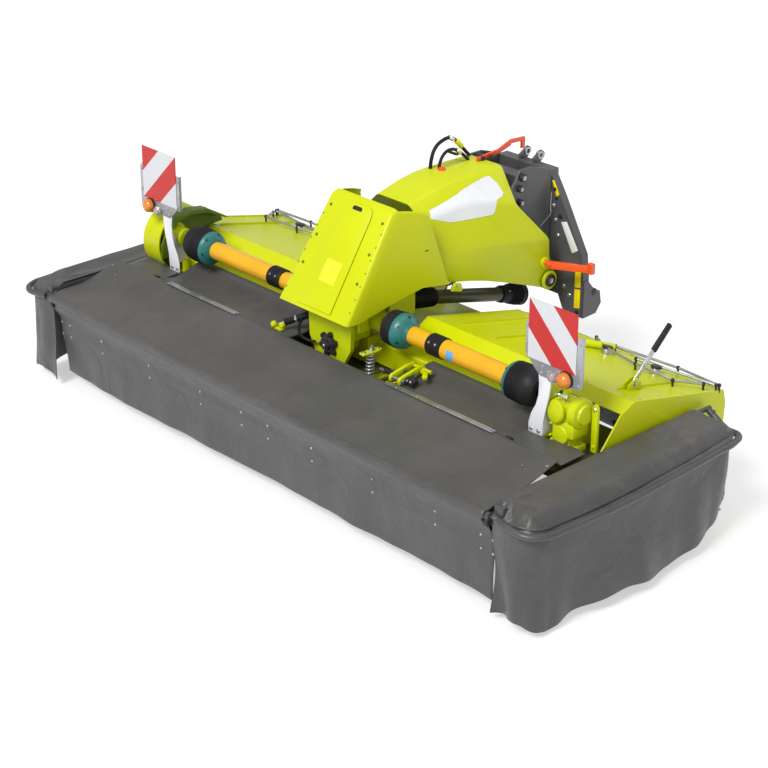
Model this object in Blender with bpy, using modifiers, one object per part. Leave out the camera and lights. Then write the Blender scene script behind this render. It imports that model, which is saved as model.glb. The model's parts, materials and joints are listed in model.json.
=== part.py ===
"""Front-mounted disc mower conditioner with tine conditioner, float boom and headstock.

Metres, +Z up. X runs along the cutter bar, the skirted front edge faces -Y and the
headstock faces +Y. The machine is drawn from the plane of its warning boards (y = 0)
and is moved at the end, so that the origin lies under the middle of its footprint.
"""
import math

import bmesh
import bpy
from mathutils import Matrix, Vector

# ---- driving dimensions (metres, degrees where named so) ----
GAP = 0.0003                # seat between touching pieces
SHEET = 0.006               # guard sheet steel
CLOTH = 0.008               # guard tarpaulin and skirt
FOOTPRINT_MID_Y = 0.4218    # middle of the overall length, from the board plane

# end plates, which set the width of the machine
PLATE_X = 1.60              # inner face of the end plates
PLATE_THICK = 0.008

# cutter bar and discs
DISC_COUNT = 8
DISC_END_ROOM = 0.13        # axis of an outer disc to its end plate
DISC_CLEARANCE = 0.04       # half the gap between neighbouring discs
BLADE_OVERHANG = 0.065
BLADE_WIDTH = 0.045
BLADE_THICK = 0.005
BLADE_ROOM_BEHIND = 0.02    # blade sweep to the front edge of the end plates
DISC_HEIGHT = 0.030
BAR_Y = -0.12
BAR_WIDTH = 0.20
BAR_HEIGHT = 0.05
SKID_HEIGHT = 0.055
HUB_RADIUS = 0.06
HUB_HEIGHT = 0.02
DISC_PITCH = 2 * (PLATE_X - DISC_END_ROOM) / (DISC_COUNT - 1)
DISC_RADIUS = DISC_PITCH / 2 - DISC_CLEARANCE
BLADE_REACH = DISC_RADIUS + BLADE_OVERHANG
BAR_TOP = SKID_HEIGHT + BAR_HEIGHT
DISC_LOW = BAR_TOP + HUB_HEIGHT + GAP

# frame and conditioner
PLATE_FRONT_Y = BAR_Y + BLADE_REACH + BLADE_ROOM_BEHIND
BEAM_Y = 0.20
BEAM_Z = 0.56
BEAM_SIZE = 0.12
BEAM_END_ROOM = 0.16        # end of the beam to the end plate
BEAM_HALF = PLATE_X - BEAM_END_ROOM
LEG_SIZE = 0.07
BEAM_BASE = BEAM_Z - BEAM_SIZE / 2
BEAM_TOP = BEAM_Z + BEAM_SIZE / 2
BEAM_FRONT = BEAM_Y - BEAM_SIZE / 2
ROTOR_Y = 0.50
ROTOR_Z = 0.345
ROTOR_RADIUS = 0.215
ROTOR_CORE = 0.085
TINE_ROWS = 4
TINES_PER_ROW = 13
TINE_WIDTH = 0.07
TINE_THICK = 0.012
TINE_FIRST = 0.15           # end plate to the first tine
HOOD_ROOM = 0.175           # tine sweep to the crest of the hood
HOOD_FRONT_Y = 0.28
HOOD_FRONT_DROP = 0.04      # the front lip lies this far under the crest
HOOD_CREST_Y = 0.35
HOOD_CREST_Z = ROTOR_Z + ROTOR_RADIUS + HOOD_ROOM
HOOD_REAR_Y = 1.00
HOOD_FALL = 0.15            # crest to rear edge
HOOD_REAR_Z = HOOD_CREST_Z - HOOD_FALL
HOOD_LIP = 0.05
HOOD_GAP_X = 0.27           # half width of the lowered middle of the hood
HOOD_DROP = 0.10            # how far the middle is lowered
DRUM_Y = 0.19               # round cover of the left drive
DRUM_Z = 0.69
DRUM_RADIUS = 0.185
DRUM_WIDTH = 0.14
DRUM_WALL = 0.01

# swath doors and parking stands
DOOR_X = PLATE_X - 0.025
DOOR_Y = 0.83
DOOR_LENGTH = 0.18
DOOR_LOW_Z = 0.17
DOOR_HIGH_Z = 0.49
STAND_X = PLATE_X + PLATE_THICK + 0.045
STAND_Y = 0.86
STAND_Z = 0.44
STAND_RAKE = 0.03
STAND_EYE = 0.02            # half width of the eye on its pin

# guards
RAIL_X = PLATE_X + 0.03
RAIL_Y = -0.590
RAIL_Z = 0.515
RAIL_RADIUS = 0.017
RAIL_END = 0.02             # cloth ends this far inside the rail's ends
HINGE_Y = -0.14
HINGE_Z = 0.60
HINGE_ROD = 0.011
SADDLE_RADIUS = 0.0137      # saddle under the hinge rod, with its seat
SADDLE_DROP = 0.025
BRACKET_HALF = 0.02
BRACKET_IN_X = 0.46
BRACKET_OUT_X = PLATE_X - 0.29
ARM_HALF = 0.012
ARM_STEP = 0.04             # inner guard arm to its bracket
SKIRT_LOW_Z = 0.07
END_HINGE_X = PLATE_X + 0.040
END_HINGE_Z = 0.56
END_RAIL_RADIUS = 0.012
END_LUGS_Y = (0.22, 0.66)
LOOP_X = PLATE_X + 0.30
LOOP_RADIUS = 0.017
LOOP_Z = 0.50
LOOP_REAR_Y = 0.83
COVER_RIM = 0.036           # rim of the end cover above the loop

# pendulum bearing, boom and headstock
PIVOT_Z = 0.625
PIVOT_PIN = 0.045
PIVOT_RUNNING = 0.0008      # running gap of the bore round the pin
BEARING_RADIUS = 0.075
PIVOT_FRONT_Y = -0.055
CARRIER_THICK = 0.025
CHEEK_X = 0.19
CHEEK_THICK = 0.015
SADDLE_REAR_Y = 0.075
GEARBOX_LOW_Z = 0.69
GEARBOX_HIGH_Z = 0.88
GEARBOX_REAR_Y = 0.33
GEARBOX_HALF = 0.160
GEARBOX_NECK = 0.05
BOOM_Y = 0.25
BOOM_Z = 0.95
BOOM_ARM_X = 0.15
BOOM_ARM_HALF = 0.008
HEAD_Y = 1.26
HEAD_Z = 0.74
HEAD_REAR_Y = HEAD_Y + 0.03  # upright rear edge that the coupling frame bolts to
HEAD_CHEEK_IN = BOOM_ARM_X + 0.020
HEAD_CHEEK_OUT = BOOM_ARM_X + 0.035
PIN_RADIUS = 0.020
PIN_BORE = PIN_RADIUS + 0.0005
SHAFT_Y = 0.10
SHAFT_Z = 0.76
SHAFT_IN_X = 0.28
SHAFT_OUT_X = PLATE_X - 0.30
JOINT_BALL = 0.030
MAIN_JOINT_Y = 0.38
MAIN_JOINT_Z = 0.74
MAIN_END_Y = 1.30
MAIN_END_Z = 0.51
HITCH_HALF = 0.41
HITCH_PLATE = 0.025         # half thickness of the lower hook plates
HITCH_LOW_Z = 0.50
LINK_LUG_X = 0.04           # lugs of the upper link

# hoods
FRONT_LOW = (-0.165, 0.82)  # (y, z) of the front face
FRONT_HIGH = (0.160, 1.300)
FRONT_HALF_LOW = 0.247
FRONT_HALF_HIGH = 0.215
FLAP_HALF = 0.118
SIDE_FLARE = 0.10           # widening of the front hood per metre towards the rear
FRONT_SIDE_LOW = ((-0.10, 0.818), (0.30, 0.905), (0.46, 0.885))
FRONT_SIDE_HIGH = ((0.20, 1.295), (0.30, 1.275), (0.37, 1.25))
# (y, z, half width) of the sill, crease, shoulder and top edge at three stations
REAR_STATIONS = (
    ((0.425, 0.885, 0.266), (0.455, 1.045, 0.244), (0.375, 1.200, 0.205), (0.365, 1.280, 0.118)),
    ((0.750, 0.815, 0.275), (0.800, 0.995, 0.286), (0.660, 1.230, 0.215), (0.620, 1.325, 0.120)),
    ((1.230, 0.640, 0.272), (1.200, 0.930, 0.283), (0.995, 1.150, 0.240), (1.000, 1.330, 0.120)),
)
STAY_RADIUS = 0.012

# hoses over the rear hood: (x, front y, rear y, rise)
HOSE_RADIUS = 0.009
HOSES = ((-0.085, 0.70, 0.97, 0.075), (-0.060, 0.735, 0.945, 0.055))
HOSE_CLAMP_Y = 0.85
HOSE_CLAMP_LOW_Z = 1.385
HOSE_CLAMP_HIGH_Z = 1.440

# warning boards
BOARD = 0.286
BOARD_THICK = 0.004
BOARD_OUT_X = PLATE_X - 0.042
BOARD_TOP_Z = 1.249
BRACKET_PLATE = 0.006


# ---- scene and materials ----
def clear_scene():
    for old in list(bpy.data.objects):
        bpy.data.objects.remove(old, do_unlink=True)


def collection(name):
    made = bpy.data.collections.new(name)
    bpy.context.scene.collection.children.link(made)
    return made


def paint(name, color, rough, metal=0.0):
    mat = bpy.data.materials.get(name)
    if mat is None:
        mat = bpy.data.materials.new(name)
        mat.use_nodes = True
        shader = mat.node_tree.nodes["Principled BSDF"]
        shader.inputs["Base Color"].default_value = (*color, 1.0)
        shader.inputs["Roughness"].default_value = rough
        shader.inputs["Metallic"].default_value = metal
    return mat


def lime():
    return paint("lime_paint", (0.58, 0.68, 0.0), 0.35)


def tarp():
    return paint("grey_tarpaulin", (0.12, 0.12, 0.12), 0.75)


def steel():
    return paint("zinc_steel", (0.62, 0.63, 0.64), 0.4, 0.9)


def dark():
    return paint("dark_grey_paint", (0.07, 0.07, 0.075), 0.5)


def rubber():
    return paint("black_rubber", (0.015, 0.015, 0.016), 0.6)


def guard_yellow():
    return paint("yellow_guard", (0.80, 0.42, 0.0), 0.4)


def white():
    return paint("white_plate", (0.80, 0.80, 0.80), 0.4)


def orange():
    return paint("orange_lock", (0.80, 0.10, 0.02), 0.4)


# ---- shape helpers ----
def add_object(name, mesh, mat=None):
    obj = bpy.data.objects.new(name, mesh)
    PARTS.objects.link(obj)
    if mat is not None:
        mesh.materials.clear()
        mesh.materials.append(mat)
    return obj


def settled(obj):
    """Replace an object by a mesh object of what its modifiers or its curve give."""
    bpy.context.view_layer.update()
    graph = bpy.context.evaluated_depsgraph_get()
    mesh = bpy.data.meshes.new_from_object(obj.evaluated_get(graph))
    work = bmesh.new()
    work.from_mesh(mesh)
    bmesh.ops.remove_doubles(work, verts=work.verts, dist=0.00002)
    work.to_mesh(mesh)
    work.free()
    name, place, mats = obj.name, obj.matrix_world.copy(), list(obj.data.materials)
    bpy.data.objects.remove(obj, do_unlink=True)
    made = add_object(name, mesh)
    made.matrix_world = place
    mesh.materials.clear()
    for mat in mats:
        mesh.materials.append(mat)
    return made


def box(name, low, high, mat=None, bevel=0.0):
    work = bmesh.new()
    size = [b - a for a, b in zip(low, high)]
    middle = [(a + b) / 2 for a, b in zip(low, high)]
    place = Matrix.Translation(middle) @ Matrix.Diagonal((*size, 1.0))
    bmesh.ops.create_cube(work, size=1.0, matrix=place)
    if bevel:
        bmesh.ops.bevel(work, geom=work.edges[:], offset=bevel, segments=1, profile=0.5,
                        affect="EDGES")
    mesh = bpy.data.meshes.new(name)
    work.to_mesh(mesh)
    work.free()
    return add_object(name, mesh, mat)


def rod(name, start, end, radius, mat=None, radius_end=None, sides=20):
    """A straight round bar or cone between two points."""
    start, end = Vector(start), Vector(end)
    run = end - start
    turn = run.to_track_quat("Z", "Y").to_matrix().to_4x4()
    work = bmesh.new()
    bmesh.ops.create_cone(work, cap_ends=True, cap_tris=False, segments=sides,
                          radius1=radius, radius2=radius if radius_end is None else radius_end,
                          depth=run.length, matrix=Matrix.Translation((start + end) / 2) @ turn)
    mesh = bpy.data.meshes.new(name)
    work.to_mesh(mesh)
    work.free()
    return add_object(name, mesh, mat)


def plate(name, outline, axis, low, high, mat=None):
    """A flat outline, thick from low to high along an axis.

    The outline's two numbers are (y, z) for axis X, (x, z) for Y and (x, y) for Z.
    """
    curve = bpy.data.curves.new(name, "CURVE")
    curve.dimensions = "2D"
    curve.fill_mode = "BOTH"
    curve.extrude = (high - low) / 2
    spline = curve.splines.new("POLY")
    spline.points.add(len(outline) - 1)
    for point, (u, v) in zip(spline.points, outline):
        point.co = (u, v, 0.0, 1.0)
    spline.use_cyclic_u = True
    obj = bpy.data.objects.new(name, curve)
    PARTS.objects.link(obj)
    if mat is not None:
        curve.materials.append(mat)
    made = settled(obj)
    columns = {"X": ((0, 0, 1), (1, 0, 0), (0, 1, 0)),
               "Y": ((1, 0, 0), (0, 0, -1), (0, 1, 0)),
               "Z": ((1, 0, 0), (0, 1, 0), (0, 0, 1))}[axis]
    turn = Matrix(columns).to_4x4()
    middle = (low + high) / 2
    shift = {"X": (middle, 0, 0), "Y": (0, middle, 0), "Z": (0, 0, middle)}[axis]
    made.data.transform(Matrix.Translation(shift) @ turn)
    return made


def pipe(name, points, radius, mat=None, smooth_route=True, closed=False, sides=2, steps=4):
    """A bent tube through points, as a curve with round section and filled ends."""
    curve = bpy.data.curves.new(name, "CURVE")
    curve.dimensions = "3D"
    curve.bevel_depth = radius
    curve.bevel_resolution = sides
    curve.use_fill_caps = True
    curve.resolution_u = steps
    if smooth_route:
        spline = curve.splines.new("NURBS")
        spline.points.add(len(points) - 1)
        spline.order_u = 3
        spline.use_endpoint_u = True
    else:
        spline = curve.splines.new("POLY")
        spline.points.add(len(points) - 1)
    spline.use_cyclic_u = closed
    for point, place in zip(spline.points, points):
        point.co = (*place, 1.0)
    obj = bpy.data.objects.new(name, curve)
    PARTS.objects.link(obj)
    if mat is not None:
        curve.materials.append(mat)
    return settled(obj)


def folded_sheet(name, profile, low_x, high_x, thick, mat=None):
    """Sheet metal bent along X: an open profile of (y, z) points, drawn out and thickened."""
    work = bmesh.new()
    edge_points = [work.verts.new((low_x, y, z)) for y, z in profile]
    edges = [work.edges.new(pair) for pair in zip(edge_points, edge_points[1:])]
    grown = bmesh.ops.extrude_edge_only(work, edges=edges)
    moved = [item for item in grown["geom"] if isinstance(item, bmesh.types.BMVert)]
    bmesh.ops.translate(work, verts=moved, vec=(high_x - low_x, 0, 0))
    bmesh.ops.recalc_face_normals(work, faces=work.faces[:])
    mesh = bpy.data.meshes.new(name)
    work.to_mesh(mesh)
    work.free()
    obj = add_object(name, mesh, mat)
    solid = obj.modifiers.new("Thickness", "SOLIDIFY")
    solid.thickness = thick
    solid.offset = 0.0
    solid.use_even_offset = True
    return settled(obj)


def lofted_sheet(name, rows, thick, mat=None):
    """A skin through rows of points of equal count, thickened to a closed sheet."""
    work = bmesh.new()
    grid = [[work.verts.new(point) for point in row] for row in rows]
    for upper, lower in zip(grid, grid[1:]):
        for a, b, c, d in zip(upper, upper[1:], lower[1:], lower):
            work.faces.new((a, b, c, d))
    bmesh.ops.recalc_face_normals(work, faces=work.faces[:])
    mesh = bpy.data.meshes.new(name)
    work.to_mesh(mesh)
    work.free()
    obj = add_object(name, mesh, mat)
    solid = obj.modifiers.new("Thickness", "SOLIDIFY")
    solid.thickness = thick
    solid.offset = 0.0
    return settled(obj)


def combine(base, others, operation):
    for other in others:
        tool = base.modifiers.new(operation.title(), "BOOLEAN")
        tool.operation = operation
        tool.solver = "EXACT"
        tool.object = other
        base = settled(base)
        bpy.data.objects.remove(other, do_unlink=True)
    return base


def fuse(base, *others):
    return combine(base, others, "UNION")


def cut(base, *others):
    return combine(base, others, "DIFFERENCE")


def place_origin(obj, point):
    obj.data.transform(Matrix.Translation(-Vector(point)))
    obj.location = point


def both_sides():
    return (("left", -1), ("right", 1))


def span(a, b):
    return min(a, b), max(a, b)


# ---- cutter bar and discs ----
def disc_x(index):
    return (index - (DISC_COUNT - 1) / 2) * DISC_PITCH


def cutter_bar():
    half = PLATE_X - GAP
    profile = [(BAR_Y - BAR_WIDTH / 2 - 0.03, SKID_HEIGHT + 0.005),
               (BAR_Y - BAR_WIDTH / 2, SKID_HEIGHT - 0.004),
               (BAR_Y + BAR_WIDTH / 2, SKID_HEIGHT - 0.004),
               (BAR_Y + BAR_WIDTH / 2, BAR_TOP),
               (BAR_Y - BAR_WIDTH / 2 + 0.02, BAR_TOP)]
    bar = plate("cutter_bar", profile, "X", -half, half, dark())
    skid = [(BAR_Y - BAR_WIDTH / 2 - 0.045, SKID_HEIGHT + 0.018), (BAR_Y - BAR_WIDTH / 2, 0.012),
            (BAR_Y - 0.04, 0.0), (BAR_Y + 0.13, 0.0), (BAR_Y + 0.15, 0.012),
            (BAR_Y + 0.09, SKID_HEIGHT + 0.004), (BAR_Y - BAR_WIDTH / 2 + 0.01, SKID_HEIGHT + 0.004)]
    pieces = []
    for index in range(DISC_COUNT):
        x = disc_x(index)
        width = min(DISC_PITCH / 2 - 0.06, half - abs(x) - 0.001)
        pieces.append(plate("skid", skid, "X", x - width, x + width))
        pieces.append(rod("hub", (x, BAR_Y, BAR_TOP - 0.02), (x, BAR_Y, BAR_TOP + HUB_HEIGHT),
                          HUB_RADIUS, sides=16))
    for side in (-1, 1):
        low, high = span(side * (BEAM_HALF - LEG_SIZE), side * BEAM_HALF)
        pieces.append(box("carrier", (low - 0.01, BAR_Y + BAR_WIDTH / 2 - 0.02, SKID_HEIGHT + 0.008),
                          (high + 0.01, BEAM_Y + LEG_SIZE / 2 + 0.01, BAR_TOP - 0.003)))
    return fuse(bar, *pieces)


def mowing_disc(index):
    x = disc_x(index)
    name = f"mowing_disc_{index + 1}"
    top = DISC_LOW + DISC_HEIGHT
    body = rod(name, (x, BAR_Y, DISC_LOW), (x, BAR_Y, top), DISC_RADIUS, dark(),
               DISC_RADIUS * 0.62, sides=28)
    cap = rod("cap", (x, BAR_Y, top - 0.005), (x, BAR_Y, top + 0.014), 0.05, sides=12)
    turn = 0 if index % 2 == 0 else 90
    blades = []
    for side in (0, 180):
        angle = math.radians(turn + side)
        blade = box("blade", (DISC_RADIUS - 0.05, -BLADE_WIDTH / 2, DISC_LOW + 0.001),
                    (BLADE_REACH, BLADE_WIDTH / 2, DISC_LOW + 0.001 + BLADE_THICK))
        blade.data.transform(Matrix.Translation((x, BAR_Y, 0)) @ Matrix.Rotation(angle, 4, "Z"))
        blades.append(blade)
    disc = fuse(body, cap, *blades)
    place_origin(disc, (x, BAR_Y, DISC_LOW))
    return disc


# ---- main frame, end plates, conditioner ----
def hinge_bracket(low, high):
    """A bracket from the beam forwards, with a saddle that the guard's hinge rod turns on."""
    seat = HINGE_Z - SADDLE_DROP
    return [
        box("bracket", (low, HINGE_Y + 0.05, HINGE_Z - 0.09), (high, BEAM_FRONT + 0.02, HINGE_Z - 0.04)),
        box("upright", (low, HINGE_Y + 0.012, HINGE_Z - 0.09), (high, HINGE_Y + 0.06, HINGE_Z - 0.02)),
        rod("saddle", (low, HINGE_Y, seat), (high, HINGE_Y, seat), SADDLE_RADIUS - GAP, sides=12),
        box("tongue", (low, HINGE_Y, HINGE_Z - 0.036), (high, HINGE_Y + 0.03, HINGE_Z - 0.02)),
    ]


def main_frame():
    beam = box("main_frame", (-BEAM_HALF, BEAM_FRONT, BEAM_BASE),
               (BEAM_HALF, BEAM_FRONT + BEAM_SIZE, BEAM_TOP), lime(), 0.006)
    pin = rod("pin", (0, BEAM_FRONT + 0.02, PIVOT_Z), (0, PIVOT_FRONT_Y - 0.012, PIVOT_Z), PIVOT_PIN)
    block = box("block", (-0.12, SADDLE_REAR_Y + 0.015, BEAM_BASE + 0.01),
                (0.12, BEAM_FRONT + 0.02, BEAM_TOP + 0.028))
    pieces = [pin, block]
    for side in (-1, 1):
        a, b = span(side * (BEAM_HALF - LEG_SIZE), side * (BEAM_HALF - 0.002))
        pieces.append(box("leg", (a, BEAM_Y - LEG_SIZE / 2, BAR_TOP - 0.003 + GAP),
                          (b, BEAM_Y + LEG_SIZE / 2, BEAM_BASE + 0.02)))
        a, b = span(side * (BEAM_HALF - 0.02), side * (PLATE_X - GAP))
        pieces.append(box("outrigger", (a, BEAM_Y - 0.02, BEAM_BASE - 0.07),
                          (b, BEAM_Y + 0.03, BEAM_BASE - 0.005)))
        for x in (BRACKET_OUT_X, BRACKET_IN_X):
            pieces += hinge_bracket(*span(side * (x - BRACKET_HALF), side * (x + BRACKET_HALF)))
    return fuse(beam, *pieces)


def hood_profile(drop=0.0):
    return [(HOOD_FRONT_Y, HOOD_CREST_Z - HOOD_FRONT_DROP - drop), (HOOD_CREST_Y, HOOD_CREST_Z - drop),
            (HOOD_REAR_Y, HOOD_REAR_Z - drop), (HOOD_REAR_Y + 0.02, HOOD_REAR_Z - HOOD_LIP - drop)]


def hood_height(y):
    slope = (HOOD_REAR_Z - HOOD_CREST_Z) / (HOOD_REAR_Y - HOOD_CREST_Y)
    return HOOD_CREST_Z + slope * (y - HOOD_CREST_Y)


def hood_seat(y, radius=0.012):
    """Height at which a round foot stands on the sloping sheet."""
    return hood_height(y) + SHEET / 2 * 1.03 + radius * 0.235 + GAP


def end_plate(name, side):
    outline = [(PLATE_FRONT_Y, 0.16), (0.50, 0.09), (HOOD_REAR_Y, 0.16),
               (HOOD_REAR_Y + 0.02, HOOD_REAR_Z - 0.06), (HOOD_REAR_Y, HOOD_REAR_Z + 0.01),
               (HOOD_CREST_Y, HOOD_CREST_Z + 0.01), (HOOD_FRONT_Y - 0.02, HOOD_CREST_Z - 0.03),
               (PLATE_FRONT_Y, 0.56)]
    low, high = span(side * PLATE_X, side * (PLATE_X + PLATE_THICK))
    wall = plate(name, outline, "X", low, high, lime())
    lug_low, lug_high = span(side * (PLATE_X - 0.045), side * (PLATE_X + 0.002))
    pieces = [box("lug", (lug_low, DOOR_Y - 0.02, z), (lug_high, DOOR_Y + 0.02, z + 0.014))
              for z in (DOOR_LOW_Z - 0.0143, DOOR_HIGH_Z + GAP)]
    out_low, out_high = span(side * (PLATE_X + 0.002), side * (STAND_X - STAND_EYE - GAP))
    pieces.append(rod("pin", (out_low, STAND_Y, STAND_Z), (out_high, STAND_Y, STAND_Z), 0.022))
    lug_low, lug_high = span(side * (PLATE_X + 0.002), side * (END_HINGE_X + 0.008))
    for y in END_LUGS_Y:
        pieces.append(box("hinge_lug", (lug_low, y - 0.02, END_HINGE_Z - 0.032),
                          (lug_high, y + 0.02, END_HINGE_Z - END_RAIL_RADIUS - GAP)))
    return fuse(wall, *pieces)


def conditioner_hood():
    half = PLATE_X - GAP
    left = folded_sheet("conditioner_hood", hood_profile(), -half, -HOOD_GAP_X, SHEET, lime())
    right = folded_sheet("right", hood_profile(), HOOD_GAP_X, half, SHEET)
    middle = folded_sheet("middle", hood_profile(HOOD_DROP), -HOOD_GAP_X - 0.004,
                          HOOD_GAP_X + 0.004, SHEET)
    walls = []
    for side in (-1, 1):
        front_z = HOOD_CREST_Z - HOOD_FRONT_DROP
        outline = [(HOOD_FRONT_Y, front_z - HOOD_DROP - 0.002), (HOOD_FRONT_Y, front_z),
                   (HOOD_CREST_Y, HOOD_CREST_Z), (HOOD_REAR_Y, HOOD_REAR_Z),
                   (HOOD_REAR_Y, HOOD_REAR_Z - HOOD_DROP - 0.002),
                   (HOOD_CREST_Y, HOOD_CREST_Z - HOOD_DROP - 0.002)]
        low, high = span(side * HOOD_GAP_X, side * (HOOD_GAP_X + SHEET))
        walls.append(plate("wall", outline, "X", low, high))
    hood = fuse(left, walls[0], middle, walls[1], right)
    notch = box("notch", (-PLATE_X - 0.1, HOOD_FRONT_Y - 0.1, 0.5),
                (-PLATE_X + DRUM_WIDTH + 0.02, DRUM_Y + DRUM_RADIUS + 0.02, 1.0))
    return cut(hood, notch)


def conditioner_rotor():
    half = PLATE_X - GAP
    core = rod("conditioner_rotor", (-half + 0.06, ROTOR_Y, ROTOR_Z), (half - 0.06, ROTOR_Y, ROTOR_Z),
               ROTOR_CORE, dark(), sides=16)
    pieces = [rod("stub", (-half, ROTOR_Y, ROTOR_Z), (half, ROTOR_Y, ROTOR_Z), 0.03, sides=12)]
    pitch = 2 * (half - TINE_FIRST) / (TINES_PER_ROW - 1)
    for row in range(TINE_ROWS):
        shift = (row % 2) * pitch / 2
        for index in range(TINES_PER_ROW - row % 2):
            x = -half + TINE_FIRST + shift + index * pitch
            tine = box("tine", (x - TINE_WIDTH / 2, -TINE_THICK / 2, ROTOR_CORE - 0.01),
                       (x + TINE_WIDTH / 2, TINE_THICK / 2, ROTOR_RADIUS))
            tine.data.transform(Matrix.Translation((0, ROTOR_Y, ROTOR_Z))
                                @ Matrix.Rotation(row * 2 * math.pi / TINE_ROWS + 0.3, 4, "X"))
            pieces.append(tine)
    rotor = fuse(core, *pieces)
    place_origin(rotor, (0, ROTOR_Y, ROTOR_Z))
    return rotor


# ---- swath doors and parking stands ----
def swath_door(name, side):
    x = side * DOOR_X
    barrel = rod(name, (x, DOOR_Y, DOOR_LOW_Z), (x, DOOR_Y, DOOR_HIGH_Z), 0.014, lime(), sides=12)
    low, high = span(x - SHEET / 2, x + SHEET / 2)
    panel = box("panel", (low, DOOR_Y + 0.005, DOOR_LOW_Z + 0.004),
                (high, DOOR_Y + DOOR_LENGTH, DOOR_HIGH_Z - 0.03))
    door = fuse(barrel, panel)
    place_origin(door, (x, DOOR_Y, DOOR_LOW_Z))
    return door


def parking_stand(name, side):
    x = side * STAND_X
    leg = rod(name, (x, STAND_Y, STAND_Z), (x, STAND_Y + STAND_RAKE, 0.004), 0.02, steel(), sides=12)
    eye = rod("eye", (x - STAND_EYE, STAND_Y, STAND_Z), (x + STAND_EYE, STAND_Y, STAND_Z), 0.035, sides=16)
    foot = box("foot", (x - 0.032, STAND_Y + STAND_RAKE - 0.06, 0.0),
               (x + 0.032, STAND_Y + STAND_RAKE + 0.06, 0.008))
    stand = fuse(leg, eye, foot)
    place_origin(stand, (x, STAND_Y, STAND_Z))
    return stand


# ---- drives ----
def right_gearbox():
    low, high = BEAM_HALF - LEG_SIZE, PLATE_X - 0.06
    back = BEAM_FRONT - GAP
    body = box("right_gearbox", (low, back - 0.105, BEAM_Z - 0.03), (high, back, SHAFT_Z + 0.07),
               lime(), 0.02)
    flange = rod("flange", (high - 0.005, back - 0.055, SHAFT_Z - 0.02),
                 (high + 0.03, back - 0.055, SHAFT_Z - 0.02), 0.075)
    neck = rod("neck", (low + 0.005, SHAFT_Y, SHAFT_Z),
               (SHAFT_OUT_X + JOINT_BALL + GAP, SHAFT_Y, SHAFT_Z), GEARBOX_NECK)
    return fuse(body, flange, neck)


def left_drive_cover():
    wall = -PLATE_X + GAP
    drum = rod("left_drive_cover", (wall, DRUM_Y, DRUM_Z), (wall + DRUM_WIDTH, DRUM_Y, DRUM_Z),
               DRUM_RADIUS, lime(), sides=32)
    hollow = rod("hollow", (wall + DRUM_WALL, DRUM_Y, DRUM_Z), (wall + DRUM_WIDTH + 0.1, DRUM_Y, DRUM_Z),
                 DRUM_RADIUS - DRUM_WALL, sides=32)
    drum = cut(drum, hollow)
    neck = rod("neck", (wall + 0.005, SHAFT_Y, SHAFT_Z),
               (-SHAFT_OUT_X - JOINT_BALL - GAP, SHAFT_Y, SHAFT_Z), GEARBOX_NECK)
    return fuse(drum, neck)


def ball(center, radius=JOINT_BALL):
    work = bmesh.new()
    bmesh.ops.create_uvsphere(work, u_segments=12, v_segments=8, radius=radius,
                              matrix=Matrix.Translation(center))
    mesh = bpy.data.meshes.new("ball")
    work.to_mesh(mesh)
    work.free()
    return add_object("ball", mesh)


def cross_shaft(name, side):
    def at(x):
        return (side * x, SHAFT_Y, SHAFT_Z)
    guard = rod(name, at(SHAFT_IN_X + 0.10), at(SHAFT_OUT_X - 0.10), 0.042, guard_yellow(), sides=20)
    inner = rod("inner", at(SHAFT_IN_X), at(SHAFT_IN_X + 0.12), 0.085, None, 0.06)
    outer = rod("outer", at(SHAFT_OUT_X - 0.14), at(SHAFT_OUT_X - 0.015), 0.065, None, 0.09)
    collar_x = 0.60 if side > 0 else 0.50
    collar = rod("collar", at(collar_x - 0.045), at(collar_x + 0.045), 0.052)
    shaft = fuse(guard, inner, outer, collar, ball(at(SHAFT_OUT_X)))
    place_origin(shaft, at(SHAFT_OUT_X))
    return shaft


# ---- warning boards ----
def warning_board(name, side):
    low, high = span(side * (BOARD_OUT_X - BOARD), side * BOARD_OUT_X)
    return box(name, (low, -BOARD_THICK, BOARD_TOP_Z - BOARD), (high, 0.0, BOARD_TOP_Z), white())


def board_bracket(name, side):
    def across(a, b):
        return span(side * a, side * b)
    low, high = across(BOARD_OUT_X - BOARD - 0.02, BOARD_OUT_X + 0.015)
    rear = GAP + BRACKET_PLATE
    back = box(name, (low, GAP, BOARD_TOP_Z - BOARD - 0.07), (high, rear, BOARD_TOP_Z - 0.11), white())
    low, high = across(BRACKET_OUT_X - 0.013, BRACKET_OUT_X + 0.075)
    post = box("post", (low, GAP, HINGE_Z - 0.04 + GAP), (high, rear, BOARD_TOP_Z - BOARD - 0.06))
    return fuse(back, post)


def board_lamp(name, side):
    z = BOARD_TOP_Z - BOARD - 0.040
    x = side * (BOARD_OUT_X - 0.055)
    return rod(name, (x, 0.0, z), (x, -0.045, z), 0.038, orange(), 0.030, sides=24)


# ---- front guard ----
def front_frame():
    rail = rod("front_frame", (-RAIL_X, RAIL_Y, RAIL_Z), (RAIL_X, RAIL_Y, RAIL_Z), RAIL_RADIUS, dark())
    rod_end, outer, inner = BRACKET_OUT_X - 0.01, BRACKET_OUT_X - 0.06, BRACKET_IN_X - ARM_STEP
    pieces = [rod("hinge", (-rod_end, HINGE_Y, HINGE_Z), (rod_end, HINGE_Y, HINGE_Z), HINGE_ROD, sides=12)]
    for x in (-outer, -inner, inner, outer):
        pieces.append(plate("arm", [(HINGE_Y, HINGE_Z - 0.012), (HINGE_Y + 0.008, HINGE_Z + 0.002),
                                    (HINGE_Y - 0.02, HINGE_Z - 0.004),
                                    (RAIL_Y + 0.01, RAIL_Z + 0.01), (RAIL_Y, RAIL_Z - 0.012),
                                    (RAIL_Y + 0.10, RAIL_Z - 0.02)], "X", x - ARM_HALF, x + ARM_HALF))
    return fuse(rail, *pieces)


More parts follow.
